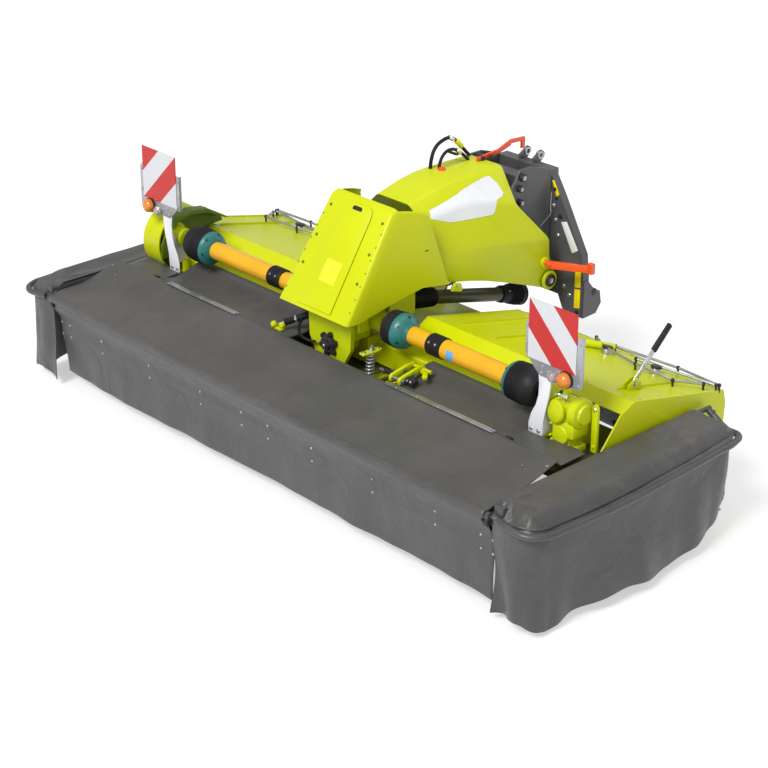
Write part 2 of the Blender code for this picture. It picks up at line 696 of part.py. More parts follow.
def front_cover():
    lift = RAIL_RADIUS + CLOTH / 2 + GAP
    profile = [(RAIL_Y - 0.004, RAIL_Z + lift), (RAIL_Y + 0.05, RAIL_Z + lift + 0.006),
               (HINGE_Y - 0.016, HINGE_Z + 0.018)]
    return folded_sheet("front_cover", profile, -RAIL_X + RAIL_END, RAIL_X - RAIL_END, CLOTH, tarp())


def front_skirt():
    top = RAIL_Z - RAIL_RADIUS - GAP
    profile = [(RAIL_Y, top), (RAIL_Y + 0.048, top - 0.11), (RAIL_Y + 0.060, SKIRT_LOW_Z)]
    skirt = folded_sheet("front_skirt", profile, -RAIL_X + RAIL_END, RAIL_X - RAIL_END, CLOTH, tarp())
    above = box("above", (-RAIL_X, RAIL_Y - 0.05, top), (RAIL_X, RAIL_Y + 0.05, top + 0.05))
    return cut(skirt, above)


# ---- end guards ----
def loop_route(side):
    return [(side * x, y, z) for x, y, z in (
        (END_HINGE_X + 0.03, RAIL_Y, RAIL_Z), (LOOP_X - 0.16, RAIL_Y - 0.01, LOOP_Z + 0.01),
        (LOOP_X - 0.02, RAIL_Y + 0.04, LOOP_Z), (LOOP_X, RAIL_Y + 0.13, LOOP_Z),
        (LOOP_X + 0.02, -0.10, LOOP_Z), (LOOP_X + 0.005, 0.30, LOOP_Z), (LOOP_X - 0.02, 0.66, LOOP_Z),
        (LOOP_X - 0.04, LOOP_REAR_Y, LOOP_Z), (LOOP_X - 0.15, LOOP_REAR_Y, LOOP_Z),
        (END_HINGE_X + 0.02, LOOP_REAR_Y, END_HINGE_Z))]


def end_frame(name, side):
    loop = pipe(name, loop_route(side), LOOP_RADIUS, dark(), steps=5)
    rail = rod("rail", (side * END_HINGE_X, RAIL_Y + 0.03, END_HINGE_Z),
               (side * END_HINGE_X, LOOP_REAR_Y + 0.03, END_HINGE_Z), END_RAIL_RADIUS, sides=12)
    low, high = span(side * (END_HINGE_X - 0.004), side * (END_HINGE_X + 0.052))
    web = box("web", (low, RAIL_Y + 0.02, RAIL_Z - 0.01), (high, RAIL_Y + 0.05, END_HINGE_Z + 0.008))
    back_web = box("back", (low, LOOP_REAR_Y - 0.012, END_HINGE_Z - 0.012),
                   (high, LOOP_REAR_Y + 0.012, END_HINGE_Z + 0.008))
    frame = fuse(loop, rail, web, back_web)
    place_origin(frame, (side * END_HINGE_X, 0, END_HINGE_Z))
    return frame


def cover_edges(side):
    inner = [(END_HINGE_X - 0.004, y) for y in (RAIL_Y + 0.06, -0.2, 0.1, 0.4, 0.66, 0.80)]
    outer = [(LOOP_X - 0.13, RAIL_Y + 0.04), (LOOP_X - 0.045, RAIL_Y + 0.13), (LOOP_X - 0.025, -0.1),
             (LOOP_X - 0.035, 0.3), (LOOP_X - 0.06, 0.66), (LOOP_X - 0.12, 0.79)]
    return ([(side * x, y) for x, y in inner], [(side * x, y) for x, y in outer])


def end_cover(name, side):
    inner, outer = cover_edges(side)
    seat = END_HINGE_Z + END_RAIL_RADIUS + CLOTH / 2 + GAP
    rim = LOOP_Z + COVER_RIM
    rows = [[(a[0] + (b[0] - a[0]) * part, a[1] + (b[1] - a[1]) * part, z) for a, b in zip(inner, outer)]
            for part, z in ((0.0, seat), (0.14, seat), (0.5, seat - 0.008), (0.9, rim), (1.0, rim))]
    cover = lofted_sheet(name, rows, CLOTH, tarp())
    place_origin(cover, (side * END_HINGE_X, 0, END_HINGE_Z))
    return cover


def end_skirt(name, side):
    outer = [(LOOP_X - 0.135, RAIL_Y + 0.05), (LOOP_X - 0.053, RAIL_Y + 0.135), (LOOP_X - 0.033, -0.10),
             (LOOP_X - 0.043, 0.30), (LOOP_X - 0.068, 0.655), (LOOP_X - 0.125, 0.780)]
    rows = []
    for z, swell in ((LOOP_Z + COVER_RIM - CLOTH / 2 - GAP, 0.0), (0.30, 0.005), (0.03, 0.02)):
        rows.append([(side * (x + swell), y, z) for x, y in outer])
    skirt = lofted_sheet(name, rows, CLOTH, tarp())
    place_origin(skirt, (side * END_HINGE_X, 0, END_HINGE_Z))
    return skirt


# ---- inner covers and curtain ----
def inner_cover(name, side):
    low, high = span(side * 0.34, side * (BRACKET_OUT_X - 0.04))
    seat = BEAM_TOP + CLOTH / 2 + GAP
    profile = [(HINGE_Y + 0.02, HINGE_Z - 0.004), (0.0, HINGE_Z - 0.012), (BEAM_Y - 0.07, seat),
               (BEAM_Y - 0.03, seat)]
    return folded_sheet(name, profile, low, high, CLOTH, tarp())


def rear_curtain():
    y = HOOD_REAR_Y + 0.02 + SHEET / 2 + GAP
    half = PLATE_X - 0.02
    high = HOOD_REAR_Z - 0.025
    notch = HOOD_GAP_X + SHEET
    outline = [(-half, 0.14), (half, 0.14), (half, high), (notch, high), (notch, high - HOOD_DROP),
               (-notch, high - HOOD_DROP), (-notch, high), (-half, high)]
    return plate("rear_curtain", outline, "Y", y, y + CLOTH, tarp())


# ---- fittings on the conditioner hood ----
def swath_rods(name, side):
    def at(x, y, lift=0.03):
        return (side * x, y, hood_height(y) + lift)
    inner, middle = (PLATE_X - 0.55, 0.95), (PLATE_X - 0.35, 0.76)
    frame = pipe(name, [at(PLATE_X - 0.68, 0.80), at(*middle), at(PLATE_X - 0.13, 0.74),
                        at(PLATE_X - 0.07, 0.95), at(*inner), at(PLATE_X - 0.68, 0.80)],
                 0.007, steel(), smooth_route=False)
    feet = [rod("foot", (side * x, y, hood_seat(y)), (side * x, y, hood_height(y) + 0.03),
                0.012, sides=10) for x, y in (inner, middle)]
    return fuse(frame, *feet)


def setting_lever():
    x, foot_y = PLATE_X - 0.15, 0.51
    deck = hood_height(foot_y)
    start, end = Vector((x, foot_y, deck + 0.02)), Vector((x, foot_y + 0.255, deck + 0.252))
    base = rod("setting_lever", (x, foot_y, hood_seat(foot_y, 0.03)), (x, foot_y, deck + 0.03), 0.03,
               steel(), sides=16)
    arm = rod("arm", start, end, 0.010, sides=10)
    grip = rod("grip", start.lerp(end, 0.68), start.lerp(end, 1.0), 0.016, sides=12)
    return fuse(base, arm, grip)


# ---- hoods ----
def front_hood_half(y, z):
    """Half width of the front hood's side wall, a plane through its two front corners."""
    rise = FRONT_HIGH[1] - FRONT_LOW[1]
    run = FRONT_HIGH[0] - FRONT_LOW[0]
    lean = (FRONT_HALF_HIGH - FRONT_HALF_LOW - SIDE_FLARE * run) / rise
    return FRONT_HALF_LOW + SIDE_FLARE * (y - FRONT_LOW[0]) + lean * (z - FRONT_LOW[1])


def front_hood():
    corner = [[(side * FRONT_HALF_LOW, *FRONT_LOW), (side * FRONT_HALF_HIGH, *FRONT_HIGH)]
              for side in (-1, 1)]
    sides = []
    for side in (-1, 1):
        sides.append([[(side * front_hood_half(*low), *low), (side * front_hood_half(*high), *high)]
                      for low, high in zip(FRONT_SIDE_LOW, FRONT_SIDE_HIGH)])
    return lofted_sheet("front_hood", sides[0][::-1] + corner + sides[1], SHEET, lime())


def rear_hood():
    rows = []
    for station in REAR_STATIONS:
        right = [(half, y, z) for y, z, half in station]
        rows.append([(-x, y, z) for x, y, z in right] + right[::-1])
    return lofted_sheet("rear_hood", rows, SHEET, lime())


def reach(shell, start, direction, radius):
    """Distance from a point to the shell for a round stay, less the seat gap."""
    start, direction = Vector(start), Vector(direction)
    across = direction.orthogonal().normalized()
    beside = direction.cross(across)
    shifts = [Vector((0, 0, 0)), across, -across, beside, -beside]
    hits = [shell.ray_cast(start + shift * radius, direction) for shift in shifts]
    return min(direction.dot(place - start) for found, place, _, _ in hits if found) - GAP


def side_stay(shell, side, from_x, y, z):
    """A round stay along X from a cheek out to the inside of a shell."""
    bpy.context.view_layer.update()
    end = reach(shell, (0, y, z), (side, 0, 0), STAY_RADIUS)
    return rod("stay", (side * from_x, y, z), (side * end, y, z), STAY_RADIUS, sides=10)


# ---- pendulum carrier and gearbox ----
def pivot_carrier(shell):
    front_y = PIVOT_FRONT_Y
    outline = [(-0.10, PIVOT_Z - 0.085), (0.10, PIVOT_Z - 0.085), (0.15, PIVOT_Z), (0.16, 0.80),
               (-0.16, 0.80), (-0.15, PIVOT_Z)]
    front = plate("pivot_carrier", outline, "Y", front_y, front_y + CARRIER_THICK, lime())
    hub = rod("hub", (0, front_y + 0.02, PIVOT_Z), (0, SADDLE_REAR_Y, PIVOT_Z), BEARING_RADIUS)
    saddle = box("saddle", (-0.15, front_y + 0.02, 0.675), (0.15, SADDLE_REAR_Y, 0.76))
    bore = rod("bore", (0, -0.3, PIVOT_Z), (0, 0.3, PIVOT_Z), PIVOT_PIN + PIVOT_RUNNING)
    pieces = [hub, saddle]
    cheek = [(-0.03, 0.73), (0.03, 0.73), (0.03, 0.835), (0.17, 0.835), (0.17, 0.73), (0.34, 0.73),
             (0.34, BOOM_Z + 0.03), (0.28, BOOM_Z + 0.05), (0.20, BOOM_Z + 0.05), (-0.03, 0.84)]
    for side in (-1, 1):
        low, high = span(side * (CHEEK_X - CHEEK_THICK), side * CHEEK_X)
        pieces.append(plate("cheek", cheek, "X", low, high))
        low, high = span(side * 0.13, side * (CHEEK_X - 0.005))
        pieces.append(box("rib", (low, -0.02, 0.735), (high, 0.028, 0.755)))
        for y, z in ((0.03, 0.88), (0.28, 0.96)):
            pieces.append(side_stay(shell, side, CHEEK_X - 0.005, y, z))
    pin = rod("pin", (-CHEEK_X + 0.005, BOOM_Y, BOOM_Z), (CHEEK_X - 0.005, BOOM_Y, BOOM_Z), PIN_RADIUS)
    return cut(fuse(front, *pieces, pin), bore)


def bearing_cap():
    front_y = PIVOT_FRONT_Y
    cap = rod("bearing_cap", (0, front_y - GAP, PIVOT_Z), (0, front_y - 0.040, PIVOT_Z), 0.065,
              dark(), 0.052, sides=6)
    hollow = rod("hollow", (0, front_y + 0.01, PIVOT_Z), (0, front_y - 0.018, PIVOT_Z), PIVOT_PIN + 0.001)
    return cut(cap, hollow)


def central_gearbox():
    body = box("central_gearbox", (-GEARBOX_HALF, SADDLE_REAR_Y + GAP, GEARBOX_LOW_Z),
               (GEARBOX_HALF, GEARBOX_REAR_Y, GEARBOX_HIGH_Z), lime(), 0.02)
    flanges = [rod("flange", (side * (GEARBOX_HALF - 0.008), SHAFT_Y, SHAFT_Z),
                   (side * (GEARBOX_HALF + 0.085), SHAFT_Y, SHAFT_Z), GEARBOX_NECK) for side in (-1, 1)]
    stub = rod("stub", (0, GEARBOX_REAR_Y - 0.02, MAIN_JOINT_Z),
               (0, MAIN_JOINT_Y - JOINT_BALL - GAP, MAIN_JOINT_Z), 0.03)
    return fuse(body, *flanges, stub)


def service_flap():
    lean = math.atan2(FRONT_HIGH[1] - FRONT_LOW[1], FRONT_HIGH[0] - FRONT_LOW[0])
    out = Vector((0, -math.sin(lean), math.cos(lean))) * (SHEET + GAP)
    low, high = Vector((0, *FRONT_LOW)) + out, Vector((0, *FRONT_HIGH)) + out
    low = low.lerp(high, 0.03)
    flap = folded_sheet("service_flap", [(low.y, low.z), (high.y, high.z)], -FLAP_HALF, FLAP_HALF, SHEET,
                        lime())
    place_origin(flap, low)
    return flap


# ---- boom and main drive ----
def boom_frame(shell):
    arm = [(BOOM_Y - 0.04, BOOM_Z - 0.045), (BOOM_Y + 0.05, BOOM_Z - 0.05), (0.80, 0.83),
           (HEAD_Y + 0.02, HEAD_Z - 0.05), (HEAD_Y + 0.045, HEAD_Z), (HEAD_Y + 0.02, HEAD_Z + 0.05),
           (0.85, 1.00), (BOOM_Y + 0.02, BOOM_Z + 0.05), (BOOM_Y - 0.04, BOOM_Z + 0.03)]
    pieces = []
    for side in (-1, 1):
        low, high = span(side * (BOOM_ARM_X - BOOM_ARM_HALF), side * (BOOM_ARM_X + BOOM_ARM_HALF))
        pieces.append(plate("arm", arm, "X", low, high))
        for y, z in ((0.60, 0.95), (1.05, 0.88)):
            pieces.append(side_stay(shell, side, BOOM_ARM_X, y, z))
    cross = box("boom_frame", (-BOOM_ARM_X, 0.55, 0.88), (BOOM_ARM_X, 0.67, 0.98), lime())
    rear = box("rear", (-BOOM_ARM_X, 1.02, 0.81), (BOOM_ARM_X, 1.10, 0.88))
    bores = [rod("bore", (-0.3, y, z), (0.3, y, z), PIN_BORE)
             for y, z in ((BOOM_Y, BOOM_Z), (HEAD_Y, HEAD_Z))]
    return cut(fuse(cross, rear, *pieces), *bores)


def main_drive_shaft():
    start, end = Vector((0, MAIN_JOINT_Y, MAIN_JOINT_Z)), Vector((0, MAIN_END_Y, MAIN_END_Z))
    tube = rod("main_drive_shaft", start.lerp(end, 0.01), end, 0.034, rubber(), sides=16)
    bellows = rod("bellows", start.lerp(end, 0.035), start.lerp(end, 0.30), 0.065, None, 0.045)
    collar = rod("collar", start.lerp(end, 0.84), start.lerp(end, 0.90), 0.05)
    shaft = fuse(tube, bellows, collar, ball(start))
    place_origin(shaft, start)
    return shaft


# ---- transport locks and hoses ----
def lock_hook(shell):
    bpy.context.view_layer.update()
    front, back = 0.945, 0.985
    top = 1.5 - reach(shell, (0, back, 1.5), (0, 0, -1), 0.01)
    outline = [(front, top), (back, top), (1.10, top + 0.006), (1.185, top + 0.030), (1.192, top + 0.040),
               (1.268, top + 0.036), (1.268, top - 0.004), (1.293, top - 0.004), (1.293, top + 0.056),
               (1.19, top + 0.062), (1.10, top + 0.030), (back, top + 0.020), (front, top + 0.018)]
    return plate("lock_hook", outline, "X", -0.006, 0.006, orange())


def lock_lever(shell):
    """The lower lock: from a boss on the hood slantwise to the front of the right leg."""
    bpy.context.view_layer.update()
    y, z = 1.17, 0.805
    end_x, end_y = HITCH_HALF + 0.105, HEAD_REAR_Y - 0.020
    wall = -reach(shell, (0.6, y, z), (-1, 0, 0), 0.016) + 0.6
    mount = rod("lock_lever", (wall, y, z), (wall + 0.055, y, z), 0.016, orange(), sides=12)
    near_x = wall + 0.040
    bar = plate("bar", [(near_x, y - 0.008), (near_x + 0.02, y - 0.008), (end_x, end_y - 0.006),
                        (end_x, end_y + 0.008), (near_x, y + 0.012)], "Z", z - 0.018, z + 0.018)
    block = box("block", (end_x - 0.015, end_y - 0.014, z - 0.022), (end_x + 0.015, end_y + 0.014, z + 0.034))
    return fuse(mount, bar, block)


def hydraulic_hoses(shell):
    bpy.context.view_layer.update()
    pipes = []
    for x, front_y, rear_y, rise in HOSES:
        front, rear = (1.5 - reach(shell, (x, y, 1.5), (0, 0, -1), HOSE_RADIUS) for y in (front_y, rear_y))
        points = [(x, front_y, front), (x, front_y, front + rise * 0.8),
                  (x, front_y + 0.05, front + rise * 1.3), (x, rear_y - 0.04, rear + rise * 1.2),
                  (x, rear_y, rear + rise * 0.6), (x, rear_y, rear)]
        pipes.append(pipe("hydraulic_hoses", points, HOSE_RADIUS, rubber(), steps=4))
    low, high = span(HOSES[0][0], HOSES[1][0])
    clamp = box("clamp", (low - HOSE_RADIUS, HOSE_CLAMP_Y - 0.012, HOSE_CLAMP_LOW_Z),
                (high + HOSE_RADIUS, HOSE_CLAMP_Y + 0.012, HOSE_CLAMP_HIGH_Z))
    return fuse(pipes[0], clamp, pipes[1])


# ---- headstock ----
def headstock_frame():
    cheek = [(HEAD_Y - 0.05, HEAD_Z - 0.06), (HEAD_Y + 0.08, HEAD_Z - 0.14), (HEAD_Y + 0.14, HEAD_Z - 0.12),
             (HEAD_REAR_Y, 1.12), (HEAD_REAR_Y, 1.26), (HEAD_Y - 0.10, 1.30), (HEAD_Y - 0.19, 1.30),
             (HEAD_Y - 0.220, 1.246), (HEAD_Y - 0.283, 1.183), (HEAD_Y - 0.25, 1.10),
             (HEAD_Y - 0.05, HEAD_Z + 0.10)]
    pieces = []
    for side in (-1, 1):
        low, high = span(side * HEAD_CHEEK_IN, side * HEAD_CHEEK_OUT)
        pieces.append(plate("cheek", cheek, "X", low, high))
    inside = HEAD_CHEEK_IN + 0.005
    cross = box("headstock_frame", (-inside, HEAD_Y - 0.10, 1.14), (inside, HEAD_Y - 0.02, 1.22), dark())
    lower = box("lower", (-inside, HEAD_Y + 0.07, HEAD_Z - 0.10), (inside, HEAD_Y + 0.12, HEAD_Z))
    pin = rod("pin", (-inside, HEAD_Y, HEAD_Z), (inside, HEAD_Y, HEAD_Z), PIN_RADIUS)
    return fuse(cross, lower, pin, *pieces)


def hitch_frame():
    """The triangle that the tractor's coupling takes: two broad legs, hook plates and upper lugs."""
    head_y = HEAD_REAR_Y + GAP
    front, rear = head_y + 0.02, head_y + 0.065
    foot, cheek = HITCH_HALF + HITCH_PLATE - 0.005, HEAD_CHEEK_OUT + GAP
    low = HITCH_LOW_Z
    leg = [(0.14, 1.24), (0.175, 1.24), (0.25, 1.125), (foot - 0.015, 0.84), (foot, 0.72), (foot, low),
           (foot - 0.13, low), (0.23, 0.64), (cheek, 0.86), (cheek, 1.14), (0.14, 1.14)]
    hook = [(front + 0.005, low - 0.005), (rear + 0.06, low), (rear + 0.098, low + 0.05),
            (rear + 0.085, low + 0.12), (rear + 0.04, low + 0.14), (rear - 0.01, low + 0.20),
            (front + 0.005, low + 0.20)]
    lug = [(front, 1.24), (rear, 1.24), (rear + 0.035, 1.275), (rear + 0.035, 1.295), (rear + 0.015, 1.31),
           (front, 1.275)]
    pieces = [plate("right_leg", leg, "Y", front, rear),
              plate("left_leg", [(-x, z) for x, z in leg[::-1]], "Y", front, rear)]
    for side in (-1, 1):
        pieces.append(plate("hook", hook, "X", *span(side * (HITCH_HALF - HITCH_PLATE),
                                                     side * (HITCH_HALF + HITCH_PLATE))))
        pieces.append(plate("lug", lug, "X", *span(side * LINK_LUG_X, side * (LINK_LUG_X + 0.015))))
    head = box("hitch_frame", (-HEAD_CHEEK_OUT, head_y, 1.13), (HEAD_CHEEK_OUT, head_y + 0.07, 1.25), dark())
    bar = box("bar", (-HITCH_HALF, rear + 0.035, low + 0.04), (HITCH_HALF, rear + 0.075, low + 0.09))
    return fuse(head, *pieces, bar)


# ---- spring strut and cylinder beside the pendulum bearing ----
def float_spring():
    x, y = 0.30, -0.07
    low = HINGE_Z - 0.08
    foot = box("float_spring", (x - 0.02, y - 0.02, low), (x + 0.02, BEAM_FRONT - GAP, low + 0.015), steel())
    strut = rod("strut", (x, y, low + 0.01), (x, y + 0.02, low + 0.16), 0.019, sides=12)
    arm = box("arm", (x - 0.012, y - 0.05, low + 0.155), (x + 0.012, y + 0.07, low + 0.167))
    return fuse(foot, strut, arm)


PLAIN_BUILDERS = [
    cutter_bar, main_frame, conditioner_hood, conditioner_rotor, right_gearbox, left_drive_cover,
    front_frame, front_cover, front_skirt, rear_curtain, setting_lever, bearing_cap,
    central_gearbox, service_flap, main_drive_shaft, headstock_frame, hitch_frame, float_spring,
]
PAIRED_BUILDERS = {
    "end_plate": end_plate, "swath_door": swath_door, "parking_stand": parking_stand,
    "cross_shaft": cross_shaft, "warning_board": warning_board, "board_bracket": board_bracket,
    "board_lamp": board_lamp, "end_frame": end_frame, "end_cover": end_cover, "end_skirt": end_skirt,
    "inner_cover": inner_cover, "swath_rods": swath_rods,
}

clear_scene()
PARTS = collection("disc_mower_conditioner")
for build in PLAIN_BUILDERS:
    build()
pivot_carrier(front_hood())
rear_shell = rear_hood()
for build in (boom_frame, lock_hook, lock_lever, hydraulic_hoses):
    build(rear_shell)
for index in range(DISC_COUNT):
    mowing_disc(index)
for name, build in PAIRED_BUILDERS.items():
    for side_name, side in both_sides():
        build(f"{side_name}_{name}", side)
for part in PARTS.objects:
    part.location.y -= FOOTPRINT_MID_Y
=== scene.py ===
import json
import math
import bpy
import bmesh
from mathutils import Matrix, Vector, noise
from mathutils.bvhtree import BVHTree


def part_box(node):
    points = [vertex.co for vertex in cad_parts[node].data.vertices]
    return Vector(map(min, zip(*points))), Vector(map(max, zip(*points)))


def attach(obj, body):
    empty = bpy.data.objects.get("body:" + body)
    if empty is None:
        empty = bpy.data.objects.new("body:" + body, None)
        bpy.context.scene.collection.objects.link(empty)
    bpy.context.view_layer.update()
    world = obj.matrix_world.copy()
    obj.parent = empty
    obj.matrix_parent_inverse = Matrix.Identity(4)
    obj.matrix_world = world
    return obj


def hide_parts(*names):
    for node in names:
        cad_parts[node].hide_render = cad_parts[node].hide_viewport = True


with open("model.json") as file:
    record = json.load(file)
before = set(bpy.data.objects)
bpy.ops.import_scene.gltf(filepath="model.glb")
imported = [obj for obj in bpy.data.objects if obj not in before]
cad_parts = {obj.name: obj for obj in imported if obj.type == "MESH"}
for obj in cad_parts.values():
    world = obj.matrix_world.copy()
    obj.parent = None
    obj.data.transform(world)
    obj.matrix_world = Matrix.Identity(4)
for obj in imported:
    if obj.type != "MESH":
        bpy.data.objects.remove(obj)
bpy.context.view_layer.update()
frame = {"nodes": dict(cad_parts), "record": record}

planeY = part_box("left_board_bracket")[0].y - 0.0003  # the boards stand in this plane
print("frame loaded,", len(frame["nodes"]), "solids")


# ---- camera and lights ----
view = {"place": (6.853, -6.055, 4.667), "azimuth": 47.12, "elevation": 25.09, "roll": 0.17, "lens": 95.15}

turn, rise, tilt = (math.radians(view[key]) for key in ("azimuth", "elevation", "roll"))
back = Vector((math.sin(turn) * math.cos(rise), -math.cos(turn) * math.cos(rise), math.sin(rise)))
level = Vector((math.cos(turn), math.sin(turn), 0))
upright = back.cross(level)
right = level * math.cos(tilt) + upright * math.sin(tilt)
above = upright * math.cos(tilt) - level * math.sin(tilt)
camera = bpy.data.objects.new("camera", bpy.data.cameras.new("camera"))
camera.matrix_world = Matrix((right, above, back)).transposed().to_4x4()
camera.location = Vector(view["place"]) + Vector((0, planeY, 0))
camera.data.lens = view["lens"]
camera.data.sensor_width = 36
camera.data.clip_start, camera.data.clip_end = 0.5, 80
bpy.context.scene.collection.objects.link(camera)
bpy.context.scene.camera = camera

studio = {
    "key": ("SUN", (0.6, -5.4, 6.2), 0.40, 2.9),
    "fill": ("AREA", (7.5, -2.0, 4.5), 5.0, 55),
    "top": ("AREA", (0.5, 1.5, 7.0), 4.0, 70),
    "rim": ("AREA", (2.0, 7.0, 4.0), 4.0, 60),
    "sky": 0.50,
}
for name in ("key", "fill", "top", "rim"):
    kind, place, size, power = studio[name]
    lamp = bpy.data.lights.new(name, kind)
    lamp.energy = power
    if kind == "SUN":
        lamp.angle = size
    else:
        lamp.size = size
    holder = bpy.data.objects.new(name, lamp)
    holder.location = place
    holder.rotation_euler = (Vector((0, 0, 0.5)) - Vector(place)).to_track_quat("-Z", "Y").to_euler()
    bpy.context.scene.collection.objects.link(holder)
sky = bpy.data.worlds.new("studio")
sky.use_nodes = True
sky.node_tree.nodes["Background"].inputs["Color"].default_value = (0.96, 0.97, 1.0, 1)
sky.node_tree.nodes["Background"].inputs["Strength"].default_value = studio["sky"]
bpy.context.scene.world = sky
bpy.context.scene.view_settings.view_transform = "Standard"


# ---- materials ----
def nodeOf(tree, kind, inputs=None, **settings):
    made = tree.nodes.new(kind)
    for key, value in settings.items():
        setattr(made, key, value)
    for key, value in (inputs or {}).items():
        if hasattr(value, "is_linked"):
            tree.links.new(value, made.inputs[key])
        else:
            made.inputs[key].default_value = value
    return made


def tinted(color, factor):
    return tuple(min(1.0, part * factor) for part in color) + (1,)


def finish(name, color, rough, metal=0.0, coat=0.0, spread=0.10, patch=6.0, grain=90.0, relief=0.05,
           depth=0.001, dust=0.0, sheen=0.0):
    made = bpy.data.materials.new(name)
    made.use_nodes = True
    tree = made.node_tree
    shader = tree.nodes["Principled BSDF"]
    shader.inputs["Metallic"].default_value = metal
    shader.inputs["Coat Weight"].default_value = coat
    shader.inputs["Coat Roughness"].default_value = 0.12
    shader.inputs["Sheen Weight"].default_value = sheen
    place = nodeOf(tree, "ShaderNodeTexCoord").outputs["Object"]
    patches = nodeOf(tree, "ShaderNodeTexNoise", {"Vector": place, "Scale": patch,
                                                  "Detail": 5.0}).outputs["Fac"]
    fine = nodeOf(tree, "ShaderNodeTexNoise", {"Vector": place, "Scale": grain, "Detail": 3.0}).outputs["Fac"]
    ramp = nodeOf(tree, "ShaderNodeValToRGB", {"Fac": patches})
    ramp.color_ramp.elements[0].position = 0.3
    ramp.color_ramp.elements[0].color = tinted(color, 1 - spread)
    ramp.color_ramp.elements[1].position = 0.7
    ramp.color_ramp.elements[1].color = tinted(color, 1 + spread)
    shown = ramp.outputs["Color"]
    if dust:
        cloud = nodeOf(tree, "ShaderNodeTexNoise", {"Vector": place, "Scale": 2.3, "Detail": 8.0,
                                                    "Roughness": 0.7}).outputs["Fac"]
        veil = nodeOf(tree, "ShaderNodeMapRange", {"Value": cloud, "From Min": 0.45, "From Max": 0.8,
                                                   "To Min": 0.0, "To Max": dust}).outputs["Result"]
        blend = nodeOf(tree, "ShaderNodeMix", data_type="RGBA")
        tree.links.new(veil, blend.inputs[0])
        tree.links.new(shown, blend.inputs[6])
        blend.inputs[7].default_value = (0.33, 0.31, 0.28, 1)
        shown = blend.outputs[2]
    tree.links.new(shown, shader.inputs["Base Color"])
    gloss = nodeOf(tree, "ShaderNodeMapRange", {"Value": patches, "From Min": 0.3, "From Max": 0.7,
                                                "To Min": max(0.05, rough - 0.06), "To Max": rough + 0.08})
    tree.links.new(gloss.outputs["Result"], shader.inputs["Roughness"])
    bump = nodeOf(tree, "ShaderNodeBump", {"Height": fine, "Strength": relief, "Distance": depth})
    tree.links.new(bump.outputs["Normal"], shader.inputs["Normal"])
    return made


def clothFinish(name, color, rough, crease=0.35, patch=3.0):
    made = finish(name, color, rough, spread=0.12, patch=patch, grain=240.0, relief=0.25, depth=0.0008,
                  dust=0.10,
                  sheen=0.06)
    tree = made.node_tree
    shader = tree.nodes["Principled BSDF"]
    place = nodeOf(tree, "ShaderNodeUVMap", uv_map="cloth").outputs["UV"]
    weft = nodeOf(tree, "ShaderNodeTexWave", {"Vector": place, "Scale": 180.0}, bands_direction="X")
    warp = nodeOf(tree, "ShaderNodeTexWave", {"Vector": place, "Scale": 180.0}, bands_direction="Y")
    weave = nodeOf(tree, "ShaderNodeMath", operation="MULTIPLY")
    tree.links.new(weft.outputs["Fac"], weave.inputs[0])
    tree.links.new(warp.outputs["Fac"], weave.inputs[1])
    threads = nodeOf(tree, "ShaderNodeBump", {"Height": weave.outputs[0], "Strength": 0.10,
                                              "Distance": 0.0006})
    folds = nodeOf(tree, "ShaderNodeTexNoise", {"Vector": place, "Scale": 7.0, "Detail": 6.0,
                                                "Roughness": 0.55,
                                                "Distortion": 0.8})
    wrinkle = nodeOf(tree, "ShaderNodeBump", {"Height": folds.outputs["Fac"], "Strength": crease,
                                              "Distance": 0.02, "Normal": threads.outputs["Normal"]})
    tree.links.new(wrinkle.outputs["Normal"], shader.inputs["Normal"])
    return made


def boardFinish(name, outerX, side, topZ, band):
    made = finish(name, (0.86, 0.87, 0.88), 0.36, coat=0.05, spread=0.02, grain=700.0, relief=0.06,
                  depth=0.0004)
    tree = made.node_tree
    shader = tree.nodes["Principled BSDF"]
    place = nodeOf(tree, "ShaderNodeTexCoord").outputs["Object"]
    parts = nodeOf(tree, "ShaderNodeSeparateXYZ", {"Vector": place})
    across = nodeOf(tree, "ShaderNodeMath", operation="MULTIPLY_ADD")
    tree.links.new(parts.outputs["X"], across.inputs[0])
    across.inputs[1].default_value = -side
    across.inputs[2].default_value = outerX + topZ
    along = nodeOf(tree, "ShaderNodeMath", operation="SUBTRACT")
    tree.links.new(across.outputs[0], along.inputs[0])
    tree.links.new(parts.outputs["Z"], along.inputs[1])
    cycle = nodeOf(tree, "ShaderNodeMath", operation="MODULO")
    tree.links.new(along.outputs[0], cycle.inputs[0])
    cycle.inputs[1].default_value = band * 2
    isRed = nodeOf(tree, "ShaderNodeMath", operation="LESS_THAN")
    tree.links.new(cycle.outputs[0], isRed.inputs[0])
    isRed.inputs[1].default_value = band
    cells = nodeOf(tree, "ShaderNodeTexVoronoi", {"Vector": place, "Scale": 260.0}, distance="CHEBYCHEV")
    tone = nodeOf(tree, "ShaderNodeMapRange", {"Value": cells.outputs["Distance"], "To Min": 0.94,
                                               "To Max": 1.04})
    both = nodeOf(tree, "ShaderNodeMix", data_type="RGBA")
    tree.links.new(isRed.outputs[0], both.inputs[0])
    both.inputs[6].default_value = (0.60, 0.61, 0.63, 1)
    both.inputs[7].default_value = (0.50, 0.010, 0.007, 1)
    shade = nodeOf(tree, "ShaderNodeVectorMath", operation="SCALE")
    tree.links.new(both.outputs[2], shade.inputs[0])
    tree.links.new(tone.outputs["Result"], shade.inputs["Scale"])
    tree.links.new(shade.outputs[0], shader.inputs["Base Color"])
    return made


